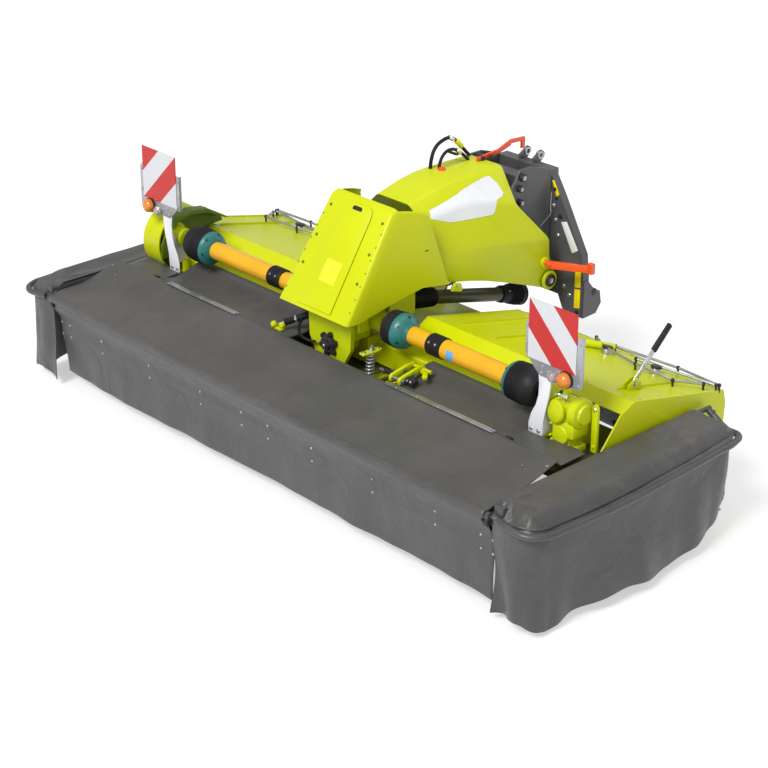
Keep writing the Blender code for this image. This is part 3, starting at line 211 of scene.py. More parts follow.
def lensFinish(name, color, alpha=0.85):
    made = finish(name, color, 0.08, coat=0.6, spread=0.05, grain=40.0, relief=0.1)
    shader = made.node_tree.nodes["Principled BSDF"]
    shader.inputs["Transmission Weight"].default_value = alpha
    tree = made.node_tree
    place = nodeOf(tree, "ShaderNodeTexCoord").outputs["Object"]
    ribs = nodeOf(tree, "ShaderNodeTexWave", {"Vector": place, "Scale": 60.0}, wave_type="RINGS")
    bump = nodeOf(tree, "ShaderNodeBump", {"Height": ribs.outputs["Fac"], "Strength": 0.3, "Distance": 0.002})
    tree.links.new(bump.outputs["Normal"], shader.inputs["Normal"])
    return made


lime = finish("lime paint", (0.53, 0.58, 0.0005), 0.36, coat=0.12, spread=0.045, patch=2.5, grain=420.0,
              relief=0.05)
limeCast = finish("lime cast paint", (0.50, 0.57, 0.0005), 0.42, coat=0.08, spread=0.06, patch=9.0,
                  grain=150.0,
                  relief=0.35, depth=0.0016)
greenDark = finish("shaded green paint", (0.10, 0.17, 0.004), 0.5, coat=0.1, spread=0.15)
darkPaint = finish("dark grey paint", (0.070, 0.070, 0.075), 0.45, coat=0.12, spread=0.12, grain=300.0,
                   relief=0.12,
                   dust=0.06)
tubePaint = finish("loop tube paint", (0.052, 0.052, 0.054), 0.42, coat=0.1, spread=0.12, grain=260.0,
                   relief=0.1,
                   dust=0.05)
rubber = finish("black rubber", (0.010, 0.010, 0.011), 0.50, spread=0.25, grain=380.0, relief=0.2)
plastic = finish("black plastic", (0.022, 0.022, 0.024), 0.36, coat=0.1, spread=0.2, grain=500.0, relief=0.15)
zinc = finish("zinc plate", (0.46, 0.47, 0.49), 0.32, metal=0.9, spread=0.10, patch=14.0, grain=260.0,
              relief=0.08)
chrome = finish("spring steel", (0.78, 0.79, 0.81), 0.14, metal=1.0, spread=0.05, grain=300.0, relief=0.04)
teal = finish("teal plastic", (0.012, 0.145, 0.13), 0.38, coat=0.15, spread=0.12, grain=300.0, relief=0.12)
amber = finish("guard yellow", (0.72, 0.37, 0.002), 0.33, coat=0.25, spread=0.06, grain=350.0, relief=0.08)
white = finish("white paint", (0.72, 0.73, 0.76), 0.32, coat=0.3, spread=0.03, grain=260.0, relief=0.06)
greyBack = finish("grey steel plate", (0.42, 0.43, 0.45), 0.38, metal=0.5, spread=0.10, grain=240.0,
                  relief=0.08)
orange = finish("orange paint", (0.82, 0.075, 0.012), 0.34, coat=0.35, spread=0.05, grain=260.0, relief=0.06)
label = finish("yellow label", (0.86, 0.66, 0.0), 0.36, coat=0.2, spread=0.03, grain=500.0, relief=0.03)
limeLabel = finish("pale label", (0.72, 0.68, 0.02), 0.36, coat=0.2, spread=0.03, grain=500.0, relief=0.03)
blueLabel = finish("blue label", (0.10, 0.35, 0.72), 0.36, coat=0.2, spread=0.03, grain=500.0, relief=0.03)
olive = finish("olive guard", (0.060, 0.056, 0.016), 0.40, coat=0.1, spread=0.25, patch=8.0, grain=260.0,
               relief=0.1)
tarp = clothFinish("grey tarpaulin", (0.060, 0.058, 0.055), 0.43, crease=0.55)
skirtCloth = clothFinish("skirt cloth", (0.050, 0.051, 0.052), 0.43, crease=0.45)
amberLens = lensFinish("amber lens", (1.0, 0.30, 0.02), 0.35)
clearLens = lensFinish("clear lens", (0.9, 0.9, 0.9), 0.7)
redLens = lensFinish("red lens", (0.85, 0.02, 0.01), 0.3)
floorPaint = finish("studio floor", (0.50, 0.50, 0.50), 0.85, spread=0.01, patch=1.0, grain=30.0, relief=0.02)
for key, value in (("Specular IOR Level", 0.05), ("Emission Color", (1.0, 1.0, 1.0, 1)),
                   ("Emission Strength", 0.52)):
    floorPaint.node_tree.nodes["Principled BSDF"].inputs[key].default_value = value
floorMesh = bmesh.new()
bmesh.ops.create_grid(floorMesh, x_segments=1, y_segments=1, size=70.0)
floorShape = bpy.data.meshes.new("studio_floor")
floorMesh.to_mesh(floorShape)
floorMesh.free()
floorShape.materials.append(floorPaint)
floor = bpy.data.objects.new("studio_floor", floorShape)
bpy.context.scene.collection.objects.link(floor)
for paint in (lime, limeCast, rubber, plastic):
    paint.node_tree.nodes["Principled BSDF"].inputs["Specular IOR Level"].default_value = 0.25
print("materials ready")


# ---- modelling helpers ----
def around(count, first=0.0):
    return [step * math.tau / count + first for step in range(count)]


def spoke(angle):
    # unit vector square to the X axis
    return Vector((0, math.cos(angle), math.sin(angle)))


def newFaces(mesh, known, slotIndex):
    for face in mesh.faces:
        if face not in known:
            face.material_index = slotIndex


def lined(start, end):
    start, end = Vector(start), Vector(end)
    way = end - start
    return Matrix.Translation((start + end) / 2) @ way.to_track_quat("Z",
                                                                     "Y").to_matrix().to_4x4(), way.length


def addRod(mesh, start, end, radius, endRadius=None, slotIndex=0, sides=28, edge=0.0):
    known = set(mesh.faces)
    place, length = lined(start, end)
    made = bmesh.ops.create_cone(mesh, cap_ends=True, segments=sides, radius1=radius,
                                 radius2=radius if endRadius is None else endRadius, depth=length,
                                 matrix=place)
    if edge:
        rims = [e for e in {e for v in made["verts"] for e in v.link_edges}
                if len(e.link_faces) == 2 and any(len(f.verts) > 4 for f in e.link_faces)]
        bmesh.ops.bevel(mesh, geom=rims, offset=edge, offset_type="OFFSET", segments=2, profile=0.5,
                        affect="EDGES", material=-1)
    newFaces(mesh, known, slotIndex)


def addBlock(mesh, low, high, slotIndex=0, edge=0.002, turned=None):
    known = set(mesh.faces)
    low, high = Vector(low), Vector(high)
    size = high - low
    place = Matrix.Translation((low + high) / 2)
    if turned is not None:
        place = place @ turned.to_4x4()
    made = bmesh.ops.create_cube(mesh, size=1.0, matrix=place @ Matrix.Diagonal((*size, 1)))
    if edge:
        edges = list({e for v in made["verts"] for e in v.link_edges})
        bmesh.ops.bevel(mesh, geom=edges, offset=edge, offset_type="OFFSET", segments=2, profile=0.5,
                        affect="EDGES", material=-1)
    newFaces(mesh, known, slotIndex)


def addPlate(mesh, outline, thickness, slotIndex=0, edge=0.0015):
    known = set(mesh.faces)
    corners = [mesh.verts.new(place) for place in outline]
    face = mesh.faces.new(corners)
    grown = bmesh.ops.extrude_face_region(mesh, geom=[face])["geom"]
    moved = [part for part in grown if isinstance(part, bmesh.types.BMVert)]
    bmesh.ops.translate(mesh, vec=Vector(thickness), verts=moved)
    if edge:
        edges = list({e for v in corners + moved for e in v.link_edges})
        bmesh.ops.bevel(mesh, geom=edges, offset=edge, offset_type="OFFSET", segments=2, profile=0.5,
                        affect="EDGES", material=-1)
    newFaces(mesh, known, slotIndex)


def addTurned(mesh, profile, origin, axis, slotIndex=0, steps=48):
    known = set(mesh.faces)
    origin, axis = Vector(origin), Vector(axis).normalized()
    side = axis.orthogonal().normalized()
    ring = [mesh.verts.new(origin + axis * along + side * radius) for along, radius in profile]
    edges = [mesh.edges.new(pair) for pair in zip(ring, ring[1:])]
    bmesh.ops.spin(mesh, geom=ring + edges, cent=origin, axis=axis, angle=math.tau, steps=steps,
                   use_merge=True)
    fresh = [v for v in {v for f in mesh.faces if f not in known for v in f.verts}]
    bmesh.ops.remove_doubles(mesh, verts=fresh, dist=0.00005)
    newFaces(mesh, known, slotIndex)


def addPipe(mesh, points, radius, slotIndex=0, smooth=True, sides=4, steps=6, closed=False):
    curve = bpy.data.curves.new("pipe", "CURVE")
    curve.dimensions, curve.bevel_depth, curve.bevel_resolution = "3D", radius, sides
    curve.resolution_u, curve.use_fill_caps = steps, True
    line = curve.splines.new("BEZIER" if smooth else "POLY")
    if smooth:
        line.bezier_points.add(len(points) - 1)
        for knot, place in zip(line.bezier_points, points):
            knot.co = place
            knot.handle_left_type = knot.handle_right_type = "AUTO"
    else:
        line.points.add(len(points) - 1)
        for knot, place in zip(line.points, points):
            knot.co = (*place, 1)
    line.use_cyclic_u = closed
    holder = bpy.data.objects.new("pipe", curve)
    bpy.context.scene.collection.objects.link(holder)
    bpy.context.view_layer.update()
    shape = bpy.data.meshes.new_from_object(holder.evaluated_get(bpy.context.evaluated_depsgraph_get()))
    known = set(mesh.faces)
    mesh.from_mesh(shape)
    fresh = list({v for f in mesh.faces if f not in known for v in f.verts})
    bmesh.ops.remove_doubles(mesh, verts=fresh, dist=0.00005)
    newFaces(mesh, known, slotIndex)
    bpy.data.objects.remove(holder, do_unlink=True)
    bpy.data.curves.remove(curve)
    bpy.data.meshes.remove(shape)


def addBolt(mesh, place, normal, size=0.009, slotIndex=0, sides=6, washer=True):
    place, normal = Vector(place), Vector(normal).normalized()
    if washer:
        addRod(mesh, place - normal * 0.001, place + normal * size * 0.25, size * 1.35, None, slotIndex, 20)
    addRod(mesh, place, place + normal * size * 0.9, size, size * 0.92, slotIndex, sides, edge=size * 0.08)


def settle(name, mesh, materials, body, replaced=(), angle=35, recalc=True):
    if recalc:
        bmesh.ops.recalc_face_normals(mesh, faces=mesh.faces)
    bmesh.ops.translate(mesh, vec=(0, planeY, 0), verts=mesh.verts)
    shape = bpy.data.meshes.new(name)
    mesh.to_mesh(shape)
    mesh.free()
    for material in materials:
        shape.materials.append(material)
    shape.shade_smooth()
    shape.set_sharp_from_angle(angle=math.radians(angle))
    piece = bpy.data.objects.new(name, shape)
    bpy.context.scene.collection.objects.link(piece)
    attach(piece, body)
    if replaced:
        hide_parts(*replaced)
    return piece


def mirrored(side, x, y, z):
    return Vector((side * x, y, z))


# ---- solids kept from the frame, with their edges eased ----
eased = {
    "main_frame": (lime, 0.004, 30), "conditioner_hood": (lime, 0.0025, 30), "cutter_bar": (darkPaint, 0.004,
                                                                                            30),
    "left_end_plate": (lime, 0.0025, 30), "right_end_plate": (lime, 0.0025, 30), "pivot_carrier": (limeCast,
                                                                                                   0.003, 30),
    "boom_frame": (lime, 0.004, 30), "headstock_frame": (darkPaint, 0.004, 30), "hitch_frame": (darkPaint,
                                                                                                0.005, 30),
    "conditioner_rotor": (darkPaint, 0.003, 30), "central_gearbox": (limeCast, 0.004, 30),
    "front_frame": (tubePaint, 0.002, 40),
    "left_swath_door": (lime, 0.003, 30), "right_swath_door": (lime, 0.003, 30),
    "lock_hook": (orange, 0.0015, 30), "lock_lever": (orange, 0.0025, 30),
    "left_parking_stand": (zinc, 0.002, 30), "right_parking_stand": (zinc, 0.002, 30),
}
bodyOf = {node: body for body, nodes in frame["record"]["behaviour"]["bodies"].items() for node in nodes}


def easeNode(node, material, width, angle):
    mesh = bmesh.new()
    mesh.from_mesh(frame["nodes"][node].data)
    bmesh.ops.remove_doubles(mesh, verts=mesh.verts, dist=0.00002)
    bmesh.ops.dissolve_limit(mesh, angle_limit=math.radians(1.0), use_dissolve_boundaries=False,
                             verts=mesh.verts, edges=mesh.edges)
    bmesh.ops.translate(mesh, vec=(0, -planeY, 0), verts=mesh.verts)
    piece = settle("eased_" + node, mesh, [material], bodyOf[node], (node,), angle,
                   recalc=False)
    rim = piece.modifiers.new("rim", "BEVEL")
    rim.width, rim.segments, rim.limit_method, rim.angle_limit = width, 2, "ANGLE", math.radians(angle)
    rim.use_clamp_overlap, rim.harden_normals = True, False
    return piece


for node, (material, width, angle) in eased.items():
    easeNode(node, material, width, angle)
print("frame solids eased")


# ---- tarpaulins and skirts ----
def smoothStep(low, high, value):
    part = min(1.0, max(0.0, (value - low) / (high - low)))
    return part * part * (3 - 2 * part)


def along(points, part):
    # smooth curve through the points, 0 at the first and 1 at the last
    place = part * (len(points) - 1)
    first = min(int(place), len(points) - 2)
    near = [Vector(points[min(max(first + step, 0), len(points) - 1)]) for step in (-1, 0, 1, 2)]
    f = place - first
    return 0.5 * (2 * near[1] + (near[2] - near[0]) * f
                  + (2 * near[0] - 5 * near[1] + 4 * near[2] - near[3]) * f * f
                  + (3 * near[1] - near[0] - 3 * near[2] + near[3]) * f ** 3)


def wave(x, y, seed):
    return noise.noise(Vector((x, y, seed * 3.7)))


def addCloth(name, flat, grid, shapeAt, material, body, replaced=(),
             thick=0.003):
    mesh = bmesh.new()
    bmesh.ops.create_grid(mesh, x_segments=grid[0], y_segments=grid[1], size=0.5)
    layer = mesh.loops.layers.uv.new("cloth")
    for face in mesh.faces:
        for corner in face.loops:
            corner[layer].uv = ((corner.vert.co.x + 0.5) * flat[0], (corner.vert.co.y + 0.5) * flat[1])
    for vert in mesh.verts:
        vert.co = shapeAt(vert.co.x + 0.5, vert.co.y + 0.5)
    piece = settle(name, mesh, [material], body, replaced, angle=60)
    wall = piece.modifiers.new("cloth", "SOLIDIFY")
    wall.thickness, wall.offset = thick, 0
    return piece


frontGuard = {"halfWidth": 1.610, "ripple": 0.015, "sag": 0.008}


def frontCoverAt(u, v):
    x = (u * 2 - 1) * frontGuard["halfWidth"]
    profile = ((0, -0.6125, 0.508), (0, -0.6120, 0.522), (0, -0.603, 0.5345), (0, -0.586, 0.5395),
               (0, -0.54, 0.5460), (0, -0.42, 0.5640), (0, -0.28, 0.5870), (0, -0.152, 0.6180))
    place = along(profile, v)
    loose = math.sin(math.pi * smoothStep(0.30, 1.0, v)) if v > 0.3 else 0
    bay = abs(math.sin(math.pi * (x + 1.25) / 0.835))
    lift = frontGuard["ripple"] * wave(x * 1.1, v * 5.5, 1) * loose
    lift += 0.0075 * wave(x * 3.2, v * 6, 2) * loose
    lift += 0.010 * math.sin(v * 13 + 1.6 * wave(x * 0.8, 0, 3)) * loose * (0.35 + 0.65 * bay)
    lift -= frontGuard["sag"] * bay * loose
    edge = 0.0018 * wave(x * 9, 0.3, 4) * (1 - smoothStep(0.1, 0.4, v))
    return Vector((x, place.y + edge, place.z + lift))


def frontSkirtAt(u, v):
    x = (u * 2 - 1) * (frontGuard["halfWidth"] + 0.002)
    profile = ((0, -0.596, 0.497), (0, -0.582, 0.462), (0, -0.560, 0.425), (0, -0.545, 0.390),
               (0, -0.541, 0.335), (0, -0.538, 0.285), (0, -0.535, 0.20), (0, -0.530, 0.075))
    place = along(profile, v)
    hang = smoothStep(0.62, 1.0, v)
    sway = 0.016 * wave(x * 2.1, v * 1.2, 5) * hang + 0.008 * wave(x * 6.5, v * 2, 6) * hang
    sway += 0.0045 * wave(x * 1.6, v * 6, 7)
    return Vector((x, place.y + sway, place.z + 0.004 * wave(x * 3, 0, 8) * hang))


addCloth("front_cover_tarp", (3.24, 0.50), (170, 44), frontCoverAt, tarp, "front_guard", ("front_cover",))
addCloth("front_skirt_cloth", (3.23, 0.45), (190, 40), frontSkirtAt, skirtCloth, "front_guard",
         ("front_skirt",))

endGuard = {"innerX": 1.628, "frontY": -0.592, "rearY": 0.838, "fold": 0.012, "skirtLow": 0.05}
outerEdge = ((-0.592, 1.72), (-0.585, 1.795), (-0.565, 1.845), (-0.52, 1.878), (-0.44, 1.893), (-0.10, 1.910),
             (0.30, 1.896), (0.62, 1.872), (0.76, 1.857), (0.815, 1.825), (0.838, 1.75))


def outerAt(y):
    for (lowY, lowX), (highY, highX) in zip(outerEdge, outerEdge[1:]):
        if y <= highY:
            return lowX + (highX - lowX) * max(0.0, (y - lowY) / (highY - lowY))
    return outerEdge[-1][1]


def endCoverAt(side):
    def shapeAt(u, v):
        y = endGuard["frontY"] + (endGuard["rearY"] - endGuard["frontY"]) * v
        outer = outerAt(y)
        x = endGuard["innerX"] + (outer - endGuard["innerX"]) * u
        rim = min((1 - u) * 0.26, v * 1.43, (1 - v) * 1.43)
        drop = 0.066 * (1 - smoothStep(0.0, 0.100, rim)) ** 1.3
        z = 0.5800 - 0.008 * smoothStep(0.05, 0.30, u) - drop
        away = Vector((x - 1.665, y + 0.500))
        reach, angle = away.length, math.atan2(away.y, away.x)
        pleat = math.cos(7 * angle + 2.0) * math.exp(-reach / 0.17) * smoothStep(0.01, 0.07, reach)
        second = Vector((x - 1.70, y - 0.50))
        slack = math.cos(5 * math.atan2(second.y, second.x) + 1) * math.exp(-second.length / 0.16)
        slack *= smoothStep(0.01, 0.08, second.length)
        inside = smoothStep(0.0, 0.04, u * 0.26) * smoothStep(0.0, 0.03, rim)
        crease = endGuard["fold"] * pleat + 0.008 * slack + 0.010 * wave(x * 6, y * 2.6, 11 + side)
        crease += 0.004 * wave(x * 14, y * 7, 12)
        z += inside * max(-0.016, min(0.0085, crease))
        return Vector((side * x, y, z))
    return shapeAt


def endSkirtAt(side):
    route = ((1.630, -0.574, 0), (1.735, -0.586, 0), (1.820, -0.566, 0), (1.868, -0.510, 0),
             (1.880, -0.40, 0), (1.889, -0.22, 0), (1.888, 0.0, 0), (1.880, 0.20, 0), (1.868, 0.42, 0),
             (1.850, 0.62, 0), (1.836, 0.76, 0), (1.800, 0.800, 0), (1.740, 0.806, 0))

    def shapeAt(u, v):
        place, ahead = along(route, u), along(route, min(1, u + 0.01)) - along(route, max(0, u - 0.01))
        out = Vector((ahead.y, -ahead.x, 0)).normalized()
        hang = smoothStep(0.05, 1.0, v)
        fold = 0.075 * wave(u * 7.0, v * 0.7, 14 + side) + 0.034 * wave(u * 16, v * 1.1, 15)
        push = out * (fold * hang + 0.004 * hang)
        low = endGuard["skirtLow"] + 0.05 * wave(u * 5, 0.2, 16) + 0.11 * smoothStep(0.55, 0.9, u)
        low -= 0.07 * smoothStep(0.90, 0.985, u) * (1 - smoothStep(0.985, 1.0, u))
        z = 0.528 + (low - 0.528) * v
        return Vector((side * (place.x + push.x), place.y + push.y, z))
    return shapeAt


for side, word in ((-1, "left"), (1, "right")):
    addCloth(word + "_end_cover_tarp", (0.27, 1.44), (46, 150), endCoverAt(side), tarp, word + "_end_guard",
             (word + "_end_cover",))
    addCloth(word + "_end_skirt_cloth", (1.72, 0.47), (150, 40), endSkirtAt(side), skirtCloth,
             word + "_end_guard", (word + "_end_skirt",))

innerCover = {"right": (0.50, 1.272), "left": (0.24, 1.272)}


def innerCoverAt(side, low, high):
    def shapeAt(u, v):
        x = low + (high - low) * u
        profile = ((0, -0.120, 0.5985), (0, -0.085, 0.592), (0, -0.02, 0.592), (0, 0.05, 0.602),
                   (0, 0.12, 0.6262), (0, 0.150, 0.6262), (0, 0.168, 0.6262))
        place = along(profile, v)
        loose = math.sin(math.pi * min(1, v * 1.35)) if v < 0.74 else 0
        lift = loose * (0.010 * wave(x * 4.2, v * 3.0, 20 + side) + 0.006 * wave(x * 12, v * 6, 21))
        return Vector((side * x, place.y, place.z + lift))
    return shapeAt


for side, word in ((-1, "left"), (1, "right")):
    low, high = innerCover[word]
    addCloth(word + "_inner_tarp", (high - low, 0.30), (96, 30), innerCoverAt(side, low, high), tarp, "frame",
             (word + "_inner_cover",))


def cornerAt(side):
    def shapeAt(u, v):
        x = 1.276 + 0.330 * u
        y = -0.128 + (0.130 + 0.028 * smoothStep(1.41, 1.44, x)) * v
        return Vector((side * x, y, 0.598 + 0.006 * wave(x * 9, y * 9, 30) - 0.010 * smoothStep(0.85, 1.0,
                                                                                                u)))
    return shapeAt


for side, word in ((-1, "left"), (1, "right")):
    addCloth(word + "_corner_tarp", (0.33, 0.145), (44, 18), cornerAt(side), tarp, "frame")


def rearCurtainAt(u, v):
    x = (u * 2 - 1) * 1.575
    top = 0.574 - 0.118 * (1 - smoothStep(0.272, 0.288, abs(x)))
    hang = smoothStep(0.1, 1.0, v)
    y = 1.0285 + 0.016 * hang + hang * (0.014 * wave(x * 3.2, v, 24) + 0.007 * wave(x * 9, v, 25))
    return Vector((x, y, top + (0.135 - top) * v))


addCloth("rear_curtain_cloth", (3.15, 0.42), (180, 26), rearCurtainAt, skirtCloth, "frame", ("rear_curtain",))
print("tarpaulins and skirts hung")


# ---- guard frames and their fittings ----
guardParts = {"tube": 0.0165, "rivet": 0.0065}


def addRivet(mesh, place, normal, radius, slotIndex=0):
    normal = Vector(normal).normalized()
    addTurned(mesh, ((-0.001, radius), (radius * 0.22, radius * 0.95), (radius * 0.5, radius * 0.6),
                     (radius * 0.62, 0.0)), place, normal, slotIndex, 16)


def endLoop(side, body):
    mesh = bmesh.new()
    route = [mirrored(side, *p) for p in ((1.672, -0.590, 0.515), (1.74, -0.598, 0.508),
                                          (1.845, -0.585, 0.50), (1.893, -0.525, 0.50), (1.905, -0.43, 0.50),
                                          (1.920, -0.10, 0.50), (1.905, 0.30, 0.50), (1.885, 0.62, 0.50),
                                          (1.872, 0.76, 0.50), (1.842, 0.822, 0.50), (1.76, 0.832, 0.502),
                                          (1.70, 0.832, 0.535), (1.662, 0.830, 0.560))]
    addPipe(mesh, route, guardParts["tube"], 0, sides=6, steps=8)
    addRod(mesh, mirrored(side, 1.640, -0.56, 0.56), mirrored(side, 1.640, 0.86, 0.56), 0.0115, sides=20)
    addBlock(mesh, *ordered(mirrored(side, 1.637, -0.574, 0.505), mirrored(side, 1.690, -0.545, 0.568)),
             edge=0.003)
    addBlock(mesh, *ordered(mirrored(side, 1.637, 0.820, 0.549), mirrored(side, 1.690, 0.842, 0.568)),
             edge=0.003)
    for y in (-0.50, -0.40):
        addBolt(mesh, mirrored(side, 1.884 + (y + 0.5) * 0.1, y, 0.500), (side, 0, 0.1), 0.006, 1)
    settle(word + "_end_loop", mesh, [tubePaint, chrome], body, (word + "_end_frame",))


def ordered(a, b):
    return Vector(map(min, a, b)), Vector(map(max, a, b))


for side, word in ((-1, "left"), (1, "right")):
    endLoop(side, word + "_end_guard")

mesh = bmesh.new()
for side in (-1, 1):
    for x in [1.607, 1.534, 1.25, 0.84, 0.42, 0.10]:
        addRivet(mesh, (side * x, -0.5435, 0.372), (0, -1, 0.1), guardParts["rivet"])
        addRivet(mesh, (side * x, -0.5400, 0.303), (0, -1, 0.0), guardParts["rivet"])
    addRivet(mesh, (side * 1.595, -0.205, 0.6075), (0, -0.1, 1), guardParts["rivet"])
    addRivet(mesh, (side * 1.50, -0.260, 0.5935), (0, -0.1, 1), guardParts["rivet"] * 0.7)
settle("front_rivets", mesh, [zinc], "front_guard")

mesh = bmesh.new()
for low, high in ((-1.165, -0.60), (0.52, 1.225)):
    addBlock(mesh, (low, -0.171, 0.6215), (high, -0.152, 0.6240), 0, 0.0008)
    addBlock(mesh, (low, -0.148, 0.6190), (high, -0.135, 0.6215), 0, 0.0008)
    for step in range(5):
        x = low + (high - low) * (step + 0.5) / 5
        addRivet(mesh, (x, -0.162, 0.6240), (0, 0, 1), 0.005)
addRod(mesh, (-1.42, -0.14, 0.60), (1.42, -0.14, 0.60), 0.0075, sides=20)
for side in (-1, 1):
    addRod(mesh, (side * 1.285, -0.14, 0.60), (side * 1.315, -0.14, 0.60), 0.020, None, 1, edge=0.003)
    addBlock(mesh, *ordered((side * 1.290, -0.170, 0.586), (side * 1.380, -0.128, 0.596)), 1, 0.002)
    addBolt(mesh, (side * 1.36, -0.150, 0.596), (0, 0, 1), 0.008, 0)
    addBlock(mesh, *ordered((side * 1.595, -0.604, 0.468), (side * 1.628, -0.575, 0.512)), 1, 0.004)
    addBolt(mesh, (side * 1.600, -0.604, 0.492), (0, -1, 0), 0.007, 1)
settle("front_hinge_strips", mesh, [zinc, plastic], "front_guard")
print("guard frames made")


# ---- warning boards ----
boardPlace = {"outer": 1.558, "top": 1.249, "band": 0.143}
for side, word in ((-1, "left"), (1, "right")):
    outline = boardFinish(word + " board stripes", boardPlace["outer"], side, boardPlace["top"],
                          boardPlace["band"])
    frame["nodes"][word + "_warning_board"].data.materials.clear()
    frame["nodes"][word + "_warning_board"].data.materials.append(outline)

    mesh = bmesh.new()
    rim = [(1.252, 1.13), (1.252, 0.985), (1.285, 0.945), (1.315, 0.915), (1.345, 0.893), (1.575, 0.893),
           (1.588, 0.906), (1.588, 1.13), (1.575, 1.145), (1.265, 1.145)]
    addPlate(mesh, [mirrored(side, x, 0.001, z) for x, z in rim], (0, 0.004, 0), 0, 0.001)
    addBlock(mesh, *ordered(mirrored(side, 1.256, 0.005, 0.95), mirrored(side, 1.270, 0.022, 1.14)), 0, 0.002)
    addBlock(mesh, *ordered(mirrored(side, 1.572, 0.005, 0.91), mirrored(side, 1.586, 0.022, 1.14)), 0, 0.002)
    for x, z in ((1.262, 1.115), (1.262, 1.03), (1.576, 1.115), (1.576, 1.00), (1.395, 0.925), (1.36, 0.94),
                 (1.573, 0.915)):
        addBolt(mesh, mirrored(side, x, 0.001, z), (0, -1, 0), 0.0058, 0)
    settle(word + "_board_back", mesh, [greyBack], "frame", (word + "_board_bracket",))

    mesh = bmesh.new()
    post = [(1.330, 0.925), (1.405, 0.925), (1.408, 0.86), (1.400, 0.80), (1.385, 0.74), (1.372, 0.68),
            (1.365, 0.585), (1.285, 0.585), (1.282, 0.64), (1.296, 0.69), (1.322, 0.74), (1.336, 0.79),
            (1.338, 0.85)]
    addPlate(mesh, [mirrored(side, x, 0.0055, z) for x, z in post], (0, 0.005, 0), 0, 0.0012)
    addPlate(mesh, [mirrored(side, 1.365, y, z) for y, z in ((0.008, 0.60), (0.12, 0.622), (0.12, 0.68),
                                                             (0.05, 0.76), (0.008, 0.86))],
                                                             (side * 0.005, 0, 0), 0, 0.0012)
    for x, z in ((1.35, 0.905), (1.388, 0.905), (1.30, 0.615), (1.345, 0.615)):
        addBolt(mesh, mirrored(side, x, 0.0055, z), (0, -1, 0), 0.007, 1)
    settle(word + "_board_post", mesh, [white, zinc], "frame")

    mesh = bmesh.new()
    lampX, lampZ = 1.503, 0.926
    addTurned(mesh, ((-0.002, 0.0), (-0.002, 0.040), (0.010, 0.040), (0.012, 0.037)),
              mirrored(side, lampX, 0.0, lampZ), (0, -1, 0), 1)
    addTurned(mesh, ((0.010, 0.037), (0.024, 0.036), (0.036, 0.030), (0.043, 0.018), (0.0455, 0.0)),
              mirrored(side, lampX, 0.0, lampZ), (0, -1, 0), 0)
    addTurned(mesh, ((0.006, 0.018), (0.020, 0.015), (0.026, 0.0)), mirrored(side, lampX, 0, lampZ),
              (0, -1, 0), 3, 20)
    near = lampX - 0.072
    addTurned(mesh, ((-0.001, 0.0), (-0.001, 0.027), (0.016, 0.026), (0.026, 0.018), (0.030, 0.0)),
              mirrored(side, near, 0.0, lampZ - 0.012), (0, -1, 0), 2, 36)
    addTurned(mesh, ((0.004, 0.012), (0.014, 0.010), (0.018, 0.0)), mirrored(side, near, 0, lampZ - 0.012),
              (0, -1, 0), 4, 20)
    settle(word + "_board_lamps", mesh, [amberLens, plastic, clearLens, chrome, redLens], "frame",
           (word + "_board_lamp",))
print("warning boards made")


# ---- hoods ----
frontHood = {"low": (-0.165, 0.82), "high": (0.160, 1.300), "halfLow": 0.247, "halfHigh": 0.215,
             "flare": 0.10}


def hoodHalf(y, z):
    climb = frontHood["high"][1] - frontHood["low"][1]
    run = frontHood["high"][0] - frontHood["low"][0]
    lean = (frontHood["halfHigh"] - frontHood["halfLow"] - frontHood["flare"] * run) / climb
    return (frontHood["halfLow"] + frontHood["flare"] * (y - frontHood["low"][0])
            + lean * (z - frontHood["low"][1]))


def addShell(mesh, rows, soften, minimum=9.0):
    grid = [[mesh.verts.new(place) for place in row] for row in rows]
    for lower, upper in zip(grid, grid[1:]):
        for step in range(len(lower) - 1):
            mesh.faces.new((lower[step], lower[step + 1], upper[step + 1], upper[step]))
    bmesh.ops.recalc_face_normals(mesh, faces=mesh.faces)
    sharp = [e for e in mesh.edges if len(e.link_faces) == 2 and e.calc_face_angle(0) > math.radians(minimum)]
    bmesh.ops.bevel(mesh, geom=sharp, offset=soften, offset_type="OFFSET", segments=3, profile=0.5,
                    affect="EDGES", material=-1, clamp_overlap=True)


def shelled(name, mesh, materials, body, replaced, wall):
    piece = settle(name, mesh, materials, body, replaced, angle=28, recalc=False)
    skin = piece.modifiers.new("skin", "SOLIDIFY")
    skin.thickness, skin.offset = wall, 1
    rim = piece.modifiers.new("rim", "BEVEL")
    rim.width, rim.segments, rim.limit_method, rim.angle_limit = 0.0012, 2, "ANGLE", math.radians(50)
    return piece


def outwardRows(rows):
    return [row[::-1] for row in rows]


sideLow = ((-0.10, 0.818), (0.10, 0.866), (0.30, 0.905), (0.46, 0.885))
sideHigh = ((0.20, 1.295), (0.25, 1.287), (0.30, 1.275), (0.37, 1.250))
columns = [(-1, low, high) for low, high in zip(sideLow[::-1], sideHigh[::-1])]
lowRow = [Vector((-hoodHalf(*low), *low)) for _, low, high in columns]
highRow = [Vector((-hoodHalf(*high), *high)) for _, low, high in columns]
lowRow += [Vector((s * frontHood["halfLow"], *frontHood["low"])) for s in (-1, 1)]
highRow += [Vector((s * frontHood["halfHigh"], *frontHood["high"])) for s in (-1, 1)]
lowRow += [Vector((hoodHalf(*low), *low)) for low in sideLow]
highRow += [Vector((hoodHalf(*high), *high)) for high in sideHigh]
topRow = []
for place in highRow:
    front = place.y < 0.17
    topRow.append(Vector((place.x * (0.93 if front else 0.965), place.y + (0.030 if front else 0.0),
                          place.z + (0.016 if front else 0.008))))
mesh = bmesh.new()
addShell(mesh, outwardRows([lowRow, highRow, topRow]), 0.017)
